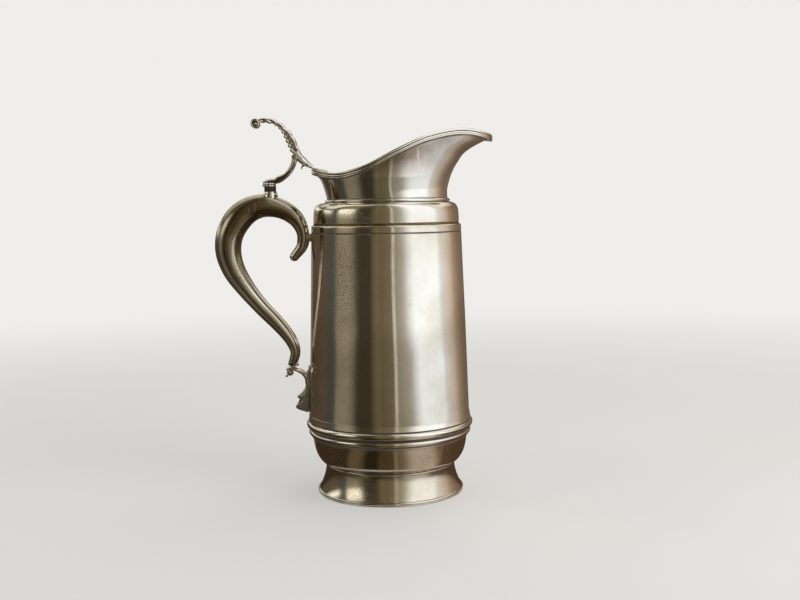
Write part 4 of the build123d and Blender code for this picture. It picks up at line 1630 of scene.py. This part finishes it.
def join_meshes(body: bpy.types.Object, parts: Sequence[bpy.types.Mesh]) -> bpy.types.Object:
    """Add plain meshes to a piece and paint its recesses anew.

    Args:
        body: the piece.
        parts: the meshes, which are used up.

    Returns:
        The piece.
    """
    edit = bmesh.new()
    edit.from_mesh(body.data)
    for part in parts:
        edit.from_mesh(part)
        bpy.data.meshes.remove(part)
    edit.to_mesh(body.data)
    edit.free()
    for polygon in body.data.polygons:
        polygon.material_index = 0
    return settle(body)


@dataclass
class Hinge(Assembly):
    """The bracket from the hinge down to the handle, with its spacer, stud and pin."""

    hinge: Pair = HINGE
    front: tuple = (
        (-68.3, 251.2), (-68.9, 248.6), (-69.9, 246.0), (-71.2, 243.4), (-73.2, 240.9), (-75.6, 238.9),
        (-78.4, 237.6), (-80.4, 236.9), (-82.0, 235.7), (-84.6, 235.1), (-88.0, 234.7), (-90.9, 233.2),
    )
    rear: tuple = (
        (-65.9, 250.0), (-66.5, 247.4), (-67.6, 244.8), (-69.0, 242.2), (-71.1, 239.4), (-73.8, 236.9),
        (-76.0, 235.2), (-77.6, 234.2), (-79.4, 233.4), (-81.2, 232.9), (-83.4, 232.6), (-86.0, 232.4),
    )
    cap: tuple = (
        (0.0, 0.0), (0.12, 0.35), (0.7, 0.5), (1.2, 0.42), (1.45, 0.1), (1.7, 0.1), (1.95, 0.3),
        (2.6, 0.2), (3.1, -0.4), (3.4, -1.6),
    )
    foot_plate: tuple = (
        (221.4, 0.05), (221.4, 1.15), (223.8, 1.2), (224.8, 0.85), (225.4, 0.45), (226.2, 0.42),
        (226.6, 0.3), (226.7, 0.05),
    )
    knuckle: tuple[Pair, ...] = (
        (0.0, 1.55), (0.05, 1.88), (0.14, 2.0), (0.42, 2.0), (0.5, 1.86), (0.58, 2.0), (0.86, 2.0),
        (0.95, 1.88), (1.0, 1.3),
    )
    arm: tuple[Pair, ...] = ((-0.6, -1.2), (-1.3, -3.2), (-2.2, -6.0), (-4.2, -9.6))
    cap_place: Pair = (-86.6, 230.4)
    cap_size: Pair = (4.5, 3.8)
    spacer_x: float = -86.0
    spacer_radius: float = 4.4

    def seat(self, piece: Cast) -> None:
        """The scalloped cap over the spacer and the plate ring under it.

        Args:
            piece: the casting.
        """
        (x, z), (long, wide) = self.cap_place, self.cap_size
        rows = []
        for rise, grow in self.cap:
            row = []
            for turn in angles(64):
                scallop = 0.14 * math.cos(8 * turn)
                out = (long + grow + scallop, wide + grow * 0.9 + scallop)
                row.append(Vector((x + out[0] * math.cos(turn), out[1] * math.sin(turn), z + rise)))
            rows.append(row)
        piece.grid(rows, caps=True)
        rows = []
        for height, out in self.foot_plate:
            radius = self.spacer_radius + out
            rows.append([
                Vector((self.spacer_x + radius * math.cos(t), radius * math.sin(t), height))
                for t in angles(48)
            ])
        piece.grid(rows, along=True)

    def bracket(self) -> bpy.types.Object:
        """The cast leaf with its cap and the two outer knuckles.

        Returns:
            The piece.
        """
        hx, hz = self.hinge
        piece = Cast("hinge_leaf")
        front, rear = spread(self.front, 72), spread(self.rear, 72)

        def leaf(share: float) -> Pair:
            """Sizes of the front leaf: a smooth stem that breaks into lobes over the cap."""
            lobes = abs(math.sin(share * math.pi * 5.5)) if share > 0.5 else 0.0
            return 0.95 + 0.2 * lobes, 2.6 + 1.4 * math.sin(math.pi * share) + 0.5 * lobes

        piece.strip(front, leaf, lambda u, v: 0.15 * v * v - 0.06 * math.cos(9 * v))
        size = (lambda u: (0.62 - 0.15 * u, 2.9 - 0.6 * u))
        piece.strip(rear, size, lambda u, v: -0.3 * v * v, power=0.85)
        # The web between leaf and strand is darkened: tarnish with painted shade.
        piece.leaf(front, rear, lambda u: 1.9 + 1.0 * u, tarnish_and_shade=0.8, power=0.75)
        arm = spread(beside(self.hinge, self.arm), 20)
        for side in (1, -1):
            piece.rod(Vector((hx, side * 2.32, hz)), Vector((hx, side * 5.18, hz)), self.knuckle)
            piece.strip(arm, lambda u: (1.5 - 0.7 * u, 1.3 - 0.5 * u), shift=side * 3.6)
        self.seat(piece)
        return piece.bound()

    pieces = ((bracket, CAST_SILVER, "hinge_bracket"),)
    kept = (("hinge_pin", CAST_SILVER), ("bracket_spacer", FIBRE), ("bracket_stud", BRASS))


@dataclass
class Handle(Assembly):
    """The hollow scroll handle with its pad, lower spacer and lower bracket."""

    casing: Body
    stations: tuple = (
        (-69.2, 178.0, 3.5), (-63.0, 186.6, 4.4), (-62.6, 196.8, 4.9), (-68.2, 207.2, 6.1),
        (-79.5, 214.2, 7.4), (-93.5, 216.2, 8.9), (-106.5, 210.6, 9.9), (-115.8, 198.6, 10.2),
        (-118.7, 184.6, 9.8), (-115.4, 170.0, 8.7), (-107.0, 155.8, 7.1), (-95.0, 140.6, 6.1),
        (-82.5, 127.2, 5.5), (-73.6, 115.6, 4.7), (-70.3, 106.0, 3.9), (-72.6, 96.9, 3.3),
    )
    wall: float = 1.0
    sides: int = 48
    arm_over: tuple = (
        (-77.6, 93.9), (-74.4, 94.6), (-70.8, 94.3), (-68.6, 93.3), (-66.2, 92.8), (-63.6, 91.2),
        (-61.4, 88.6), (-60.2, 85.4),
    )
    arm_under: tuple = (
        (-77.0, 92.0), (-74.4, 92.4), (-71.4, 91.6), (-69.0, 90.6), (-66.6, 89.2), (-64.8, 87.2),
        (-63.5, 84.6), (-62.9, 81.8),
    )
    leaf_edge: tuple = (
        (-59.8, 95.4), (-60.6, 92.8), (-62.2, 90.0), (-63.0, 86.6), (-62.9, 83.0), (-62.6, 80.4),
        (-63.6, 77.8), (-66.0, 74.8),
        (-69.2, 72.0), (-68.0, 71.2), (-67.4, 70.2), (-68.6, 67.4), (-70.4, 64.2), (-69.4, 62.9),
        (-67.6, 62.0), (-65.4, 61.2), (-63.4, 60.6), (-63.0, 59.9),
    )
    saddle: tuple[Pair, ...] = ((-76.4, 93.6), (-74.4, 94.4), (-71.4, 95.5), (-68.2, 96.3))
    curl: Pair = (-74.2, 90.4)
    bud: Pair = (-77.2, 87.9)
    tips: tuple[Pair, ...] = ((-67.6, 73.2), (-69.0, 66.0))
    spots: tuple[Patch, ...] = (
        (0.9, (-112, -8, 160), (12, 12, 16)), (0.5, (-85, -8, 128), (14, 12, 14)),
        (0.4, (-95, 8, 212), (18, 10, 8)),
    )
    # Painted shade with tarnish: dark patches on the handle's back, its top and both of its ends.
    shade_and_tarnish_film: tuple[Patch, ...] = (
        (0.95, (-112, -4, 196), (20, 14, 30)), (0.9, (-80, -4, 212), (26, 14, 16)),
        (0.5, (-66, -4, 192), (8, 14, 12)), (0.5, (-72, 0, 98), (8, 14, 9)),
    )

    def line(self) -> list[list[float]]:
        """The scroll's middle line with its rounded nose.

        Returns:
            Each point's x, height and radius.
        """
        line = smooth(self.stations, 9)
        (x, z, radius), second = line[0], line[1]
        back = Vector((x - second[0], z - second[1])).normalized()
        nose = []
        for angle in (80, 66, 52, 38, 25, 12):
            reach = math.sin(math.radians(angle)) * radius
            tip = radius * math.cos(math.radians(angle))
            nose.append([x + back.x * reach, z + back.y * reach, tip])
        return nose + line

    def half(self, name: str, side: int) -> bpy.types.Object:
        """One pressed half, closed along the middle plane.

        Args:
            name: the piece's name.
            side: -1 for the near half, 1 for the far one.

        Returns:
            The half.
        """
        line, rows = self.line(), []
        outer = [math.degrees(math.pi) * step / self.sides for step in range(1, self.sides)]
        outer = [0.0, 0.5, 1.6, *outer, 178.4, 179.5, 180.0]
        inner = [180.0 * step / 12 for step in range(12, -1, -1)]
        for index, (x, z, radius) in enumerate(line):
            out = across(line, index)
            share = index / (len(line) - 1)
            wave = 1 + 0.012 * math.sin(share * 31) + 0.008 * math.sin(share * 57 + 1.0)
            row = []
            for turns, size in ((outer, radius * wave), (inner, max(radius - self.wall, 0.15))):
                for angle in turns:
                    seam = 1 - 0.03 * math.exp(-min(angle, 180 - angle) / 2.0) if size > 1 else 1.0
                    a, b = math.cos(math.radians(angle)), math.sin(math.radians(angle))
                    row.append(Vector((x, side * b * size * seam, z)) + out * a * size * seam)
            rows.append(row)
        piece = Cast(name)
        piece.grid(rows, caps=True)
        made = piece.bound()
        at = points_of(made)
        paint(made, "spots", blots(at, self.spots))
        paint(made, "shade_and_tarnish_film", blots(at, self.shade_and_tarnish_film, 0.95))
        return made

    def leaf(self, piece: Cast) -> None:
        """The leaf that lies on the casing, with its side tips.

        Args:
            piece: the casting.
        """
        edge = spread(self.leaf_edge, 110)
        inner = [(-self.casing.radius(z) + 0.7, z) for _, z in edge]
        outer = [(min(x, ix - 1.3), z) for (x, z), (ix, _) in zip(edge, inner)]

        def width(share: float) -> float:
            """Half width of the leaf, broad in its middle."""
            return 0.8 + 3.4 * math.sin(math.pi * min(share + 0.04, 1.0)) ** 0.7

        # The leaf's face is darkened against its edge strip: tarnish with painted shade.
        piece.leaf(outer, inner, width, ribs=0.1, veins=2.5, sides=44, tarnish_and_shade=0.52, power=0.8)
        piece.strip(outer, lambda u: (0.55, 1.2 + 2.4 * math.sin(math.pi * u)))
        for side in (1, -1):
            for x, z in self.tips:
                row = spread([(-61.6, z + 9.0), (-63.0, z + 4.6), (x, z)], 16)
                piece.strip(
                    row, lambda u: (0.4 - 0.15 * u, 0.7 * (1 - u * u) + 0.3),
                    shift=side * 3.3, sides=14,
                )

    def bracket(self) -> bpy.types.Object:
        """The cast bracket under the handle's lower end.

        Returns:
            The piece.
        """
        piece = Cast("lower_leaf")
        piece.strip(
            spread(self.saddle, 24), lambda u: (0.8, 3.1 + math.sin(math.pi * u)),
            lambda u, v: 0.2 * v * v, power=0.9,
        )
        piece.leaf(
            spread(self.arm_over, 48), spread(self.arm_under, 48),
            lambda u: 3.1 + 0.9 * math.sin(math.pi * u), ribs=0.08, veins=1.5, power=0.95,
        )
        x, z = self.curl
        line = []
        for step in range(44):
            share = step / 43
            turn = math.radians(80) + share * math.radians(330)
            radius = 2.5 - 1.35 * share
            line.append((x + radius * math.cos(turn), z + radius * math.sin(turn)))
        piece.strip(line, lambda u: (0.85 - 0.1 * u, 3.4 - 0.6 * u))
        for side in (1, -1):
            piece.ball(Vector((x, side * 2.9, z)), 1.35)
        piece.ball(Vector((self.bud[0], 0.0, self.bud[1])), 1.1, Vector((1.0, 1.9, 1.0)))
        self.leaf(piece)
        return piece.bound()

    pieces = (
        (partial(half, name="handle_near_shell", side=-1), HANDLE_PLATE, "handle_near_half"),
        (partial(half, name="handle_far_shell", side=1), HANDLE_PLATE, "handle_far_half"),
        (bracket, CAST_SILVER, "lower_bracket"),
    )
    kept = (("handle_pad", HANDLE_PLATE), ("lower_spacer", FIBRE))


class Flask(Assembly):
    """The glass flask and what holds it, all inside."""

    kept = (
        ("flask_inner", GLASS), ("flask_outer", GLASS), ("flask_pads", FIBRE), ("flask_seal", RUBBER),
        ("flask_cushion", RUBBER), ("centring_band", CORK),
    )


@dataclass(frozen=True)
class Lamp:
    """A soft lamp that looks at the jug."""

    name: str
    azimuth: float
    height: float
    distance: float
    size: Pair
    power: float
    colour: Colour = (1.0, 0.98, 0.95)


@dataclass(frozen=True)
class Tent:
    """The grey tent round the jug, which only its reflections show.

    Each stop is a direction seen from above, 0 at the camera and rising to the right, and a tone.
    """

    stops: tuple = (
        (-180.0, (0.12, 0.09, 0.065)), (-172.0, (0.15, 0.12, 0.09)), (-165.0, (0.30, 0.265, 0.21)),
        (-153.0, (0.30, 0.265, 0.21)), (-146.0, (0.10, 0.072, 0.05)), (-124.0, (0.10, 0.072, 0.048)),
        (-112.0, (0.115, 0.083, 0.055)), (-97.0, (0.10, 0.078, 0.055)), (-93.0, (0.075, 0.077, 0.066)),
        (-82.5, (0.08, 0.085, 0.074)), (-79.0, (0.20, 0.172, 0.12)), (-74.5, (0.28, 0.24, 0.17)),
        (-60.0, (0.30, 0.255, 0.182)), (-51.0, (0.20, 0.17, 0.115)), (-45.0, (0.085, 0.068, 0.043)),
        (-40.0, (0.05, 0.04, 0.025)), (-24.0, (0.054, 0.043, 0.027)), (-19.0, (0.13, 0.10, 0.058)),
        (-14.0, (0.175, 0.138, 0.078)), (-8.0, (0.15, 0.118, 0.068)), (7.5, (0.19, 0.155, 0.10)),
        (9.0, (0.66, 0.60, 0.49)), (11.5, (0.66, 0.60, 0.49)), (13.0, (0.27, 0.24, 0.18)),
        (14.0, (0.33, 0.298, 0.238)), (21.0, (0.43, 0.385, 0.313)), (26.0, (0.56, 0.54, 0.497)),
        (31.0, (0.83, 0.84, 0.84)), (40.0, (1.18, 1.22, 1.26)), (79.0, (1.18, 1.22, 1.26)),
        (86.0, (0.85, 0.86, 0.86)), (96.0, (0.78, 0.72, 0.65)), (106.0, (0.68, 0.56, 0.46)),
        (118.0, (0.40, 0.29, 0.21)), (132.0, (0.26, 0.18, 0.125)), (156.0, (0.19, 0.14, 0.10)),
        (180.0, (0.12, 0.09, 0.065)),
    )
    ceiling_front: Colour = (0.10, 0.085, 0.055)
    ceiling_back: Colour = (1.0, 0.95, 0.83)
    back_from: Pair = (-0.12, 0.2)
    back_rise: Pair = (0.7, 1.05)
    window: Colour = (1.4, 1.34, 1.18)
    window_side: tuple[float, float, float, float] = (-80.0, -75.0, -54.0, -46.0)
    window_rise: tuple[float, float, float, float] = (0.32, 0.46, 0.9, 1.1)
    lantern_side: tuple[float, float, float, float] = (-168.0, -150.0, -98.0, -88.0)
    lantern_rise: tuple[float, float, float, float] = (0.37, 0.42, 0.52, 0.62)
    ground_share: float = 0.8
    ground_turn: float = 7.0
    near_ground: float = 0.22
    near_share: Colour = (0.44, 0.37, 0.30)
    near_seen: tuple = (-180, -70, -46, -20, 0, 22, 54, 66, 90, 180)
    near_shown: tuple = (-180, -110, -72, -32, 0, 31, 82, 125, 150, 180)
    outline: tuple = (
        (0.059, 0.0009), (0.1, 0.003), (0.2, 0.004), (0.3, 0.004), (0.5, 0.004), (1.0, 0.004),
        (1.42, 0.004), (1.5, 0.06), (1.5, 0.3), (1.5, 0.5), (1.49, 0.7), (1.46, 0.88), (1.38, 1.1),
        (1.28, 1.27),
        (1.18, 1.4), (0.9, 1.62), (0.7, 1.7), (0.5, 1.76), (0.3, 1.785), (0.15, 1.795), (0.02, 1.8),
    )
    front_rise: Pair = (0.9, 1.6)
    turns: int = 240
    ground_sides: tuple[float, float, float, float] = (12.0, 30.0, 70.0, 95.0)
    ground_top: float = 0.01

    @staticmethod
    def soft(value: float, low: float, high: float) -> float:
        """A soft step from 0 below low to 1 above high."""
        share = min(max((value - low) / (high - low), 0.0), 1.0)
        return share * share * (3 - 2 * share)

    def tone(self, azimuth: float, radius: float, height: float) -> np.ndarray:
        """The tent's tone.

        Args:
            azimuth: the direction.
            radius: the distance from the jug's axis, in metres.
            height: the height, in metres.

        Returns:
            Red, green and blue.
        """
        behind = -math.cos(math.radians(azimuth)) * radius
        on_ground, near = height < self.ground_top, radius < self.near_ground
        if on_ground and near:
            azimuth = float(np.interp(azimuth, self.near_seen, self.near_shown))
        elif on_ground:
            azimuth -= self.ground_turn * float(np.interp(azimuth, self.ground_sides, (0, 1, 1, 0)))
        keys, tones = zip(*self.stops)
        side = np.array([np.interp(azimuth, keys, part) for part in zip(*tones)])
        if on_ground:
            side = side * (np.array(self.near_share) if near else self.ground_share)
        lights = (self.window_side, self.window_rise), (self.lantern_side, self.lantern_rise)
        for sides, rises in lights:
            share = np.interp(azimuth, sides, (0, 1, 1, 0)) * np.interp(height, rises, (0, 1, 1, 0))
            side = side + (np.array(self.window) - side) * share
        back = self.soft(behind, *self.back_from)
        front_rise, back_rise = self.soft(height, *self.front_rise), self.soft(height, *self.back_rise)
        rise = front_rise + (back_rise - front_rise) * back
        ceiling = np.array(self.ceiling_front) * (1 - back) + np.array(self.ceiling_back) * back
        return side * (1 - rise) + np.maximum(side, ceiling) * rise

    def build(self) -> None:
        """Pitch the tent."""
        rows, tones = [], []
        for radius, height in self.outline:
            row = []
            for step in range(self.turns):
                azimuth = -180.0 + 360.0 * step / self.turns
                turn = math.radians(azimuth)
                row.append(Vector((math.sin(turn) * radius, -math.cos(turn) * radius, height)) / MM)
                tones.append((*self.tone(azimuth, radius, height), 1.0))
            rows.append(row)
        piece = Cast("tent")
        piece.grid(rows)
        mesh = piece.mesh()
        layer = mesh.attributes.new("tone", "FLOAT_COLOR", "POINT")
        layer.data.foreach_set("color", np.array(tones, dtype=np.float32).ravel())
        tree = Tree(bpy.data.materials.new(piece.name))
        tone = tree.node("ShaderNodeAttribute", {"attribute_name": "tone"}, out="Color")
        mesh.materials.append(tree.close("ShaderNodeEmission", {"Color": tone}))
        made = link(piece.name, mesh)
        made.visible_camera = made.visible_diffuse = made.visible_shadow = False
        made.visible_transmission = made.visible_volume_scatter = False


@dataclass
class Studio:
    """Floor, light and camera."""

    pale: Colour = (0.86, 0.85, 0.83)
    fill: float = 0.5
    lamps: tuple = (
        Lamp("key", 56.0, 0.75, 1.25, (0.9, 1.2), 7.5),
        Lamp("side", -75.0, 0.7, 1.3, (0.5, 1.0), 1.6, (1.0, 0.97, 0.93)),
        Lamp("top", 150.0, 1.4, 0.5, (0.9, 0.9), 3.4),
    )
    tent: Tent = field(default_factory=Tent)
    floor_lift: float = 0.42
    floor_fade: Pair = (0.3, 1.5)
    lens: float = 47.83
    eye: Colour = (9.404, -797.18, 214.53)
    pitch: float = 5.058
    roll: float = -0.981

    def camera(self) -> None:
        """The camera at the photograph's place."""
        data = bpy.data.cameras.new("view")
        data.lens, data.sensor_width, data.clip_start = self.lens, 36.0, 0.01
        eye = link("view", data)
        turn = Matrix.Rotation(math.radians(90 - self.pitch), 4, "X")
        turn = turn @ Matrix.Rotation(math.radians(self.roll), 4, "Z")
        eye.matrix_world = Matrix.Translation(Vector(self.eye) * MM) @ turn
        bpy.context.scene.camera = eye

    def floor(self) -> None:
        """A wide pale floor, evenly bright to the camera where it is far away."""
        mesh = bpy.data.meshes.new("floor")
        edit = bmesh.new()
        bmesh.ops.create_circle(edit, cap_ends=True, segments=128, radius=6.0)
        edit.to_mesh(mesh)
        edit.free()
        tree = Tree(bpy.data.materials.new("pale_floor"))
        place = tree.place()
        pale = (*self.pale, 1.0)
        away = tree.node("ShaderNodeVectorMath", {"operation": "LENGTH"}, {0: place}, out="Value")
        seen = tree.node("ShaderNodeLightPath", out="Is Camera Ray")
        share = tree.step(away, *self.floor_fade) * (1.0 - self.floor_lift) + self.floor_lift
        bump = tree.bump(tree.noise(place, 300.0, 3.0), 0.00002)
        inputs = {"Base Color": pale, "Roughness": 0.7, "Normal": bump}
        cloth = tree.node("ShaderNodeBsdfPrincipled", {}, inputs)
        glow = tree.node("ShaderNodeEmission", {}, {"Color": pale})
        mesh.materials.append(tree.close("ShaderNodeMixShader", {0: share * seen, 1: cloth, 2: glow}))
        link("floor", mesh)

    def light(self) -> None:
        """The lamps."""
        for lamp in self.lamps:
            data = bpy.data.lights.new(lamp.name, "AREA")
            data.shape = "RECTANGLE"
            data.size, data.size_y = lamp.size
            data.energy, data.color = lamp.power, lamp.colour
            turn, away = math.radians(lamp.azimuth), lamp.distance
            spot = Vector((math.sin(turn) * away, -math.cos(turn) * away, lamp.height))
            aim = (Vector((0.0, 0.0, 0.14)) - spot).to_track_quat("-Z", "Y")
            holder = link(lamp.name, data)
            holder.matrix_world = Matrix.Translation(spot) @ aim.to_matrix().to_4x4()
            holder.visible_camera = holder.visible_glossy = False

    def world(self) -> None:
        """A pale surround: bright where it is seen, and dimmer as a light."""
        world = bpy.data.worlds.new("studio")
        bpy.context.scene.world = world
        tree = Tree(world)
        rays = ("Is Camera Ray", "Is Glossy Ray", "Is Transmission Ray")
        seen = [tree.node("ShaderNodeLightPath", out=ray) for ray in rays]
        level = seen[0].larger(seen[1]).larger(seen[2]) * (1.0 - self.fill) + self.fill
        inputs = {"Color": (*self.pale, 1.0), "Strength": level}
        tree.close("ShaderNodeBackground", inputs, "ShaderNodeOutputWorld")

    def build(self) -> None:
        """Set up the studio."""
        bpy.context.scene.view_settings.view_transform = "Standard"
        self.camera()
        self.floor()
        self.light()
        self.world()
        self.tent.build()


def main() -> None:
    """Build the jug's looks around its solids."""
    logging.basicConfig(level=logging.INFO, format="%(name)s: %(message)s")
    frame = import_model()
    nodes = frame["nodes"]
    Studio().build()
    mouth, body = Mouth(), Body()
    for assembly in (
        Foot(), Bowl(), body, Spout(mouth), Lid(mouth), Thumbpiece(), Hinge(), Handle(body), Flask(),
    ):
        assembly.build(nodes)
    bpy.context.view_layer.update()


if __name__ == "__main__":
    main()
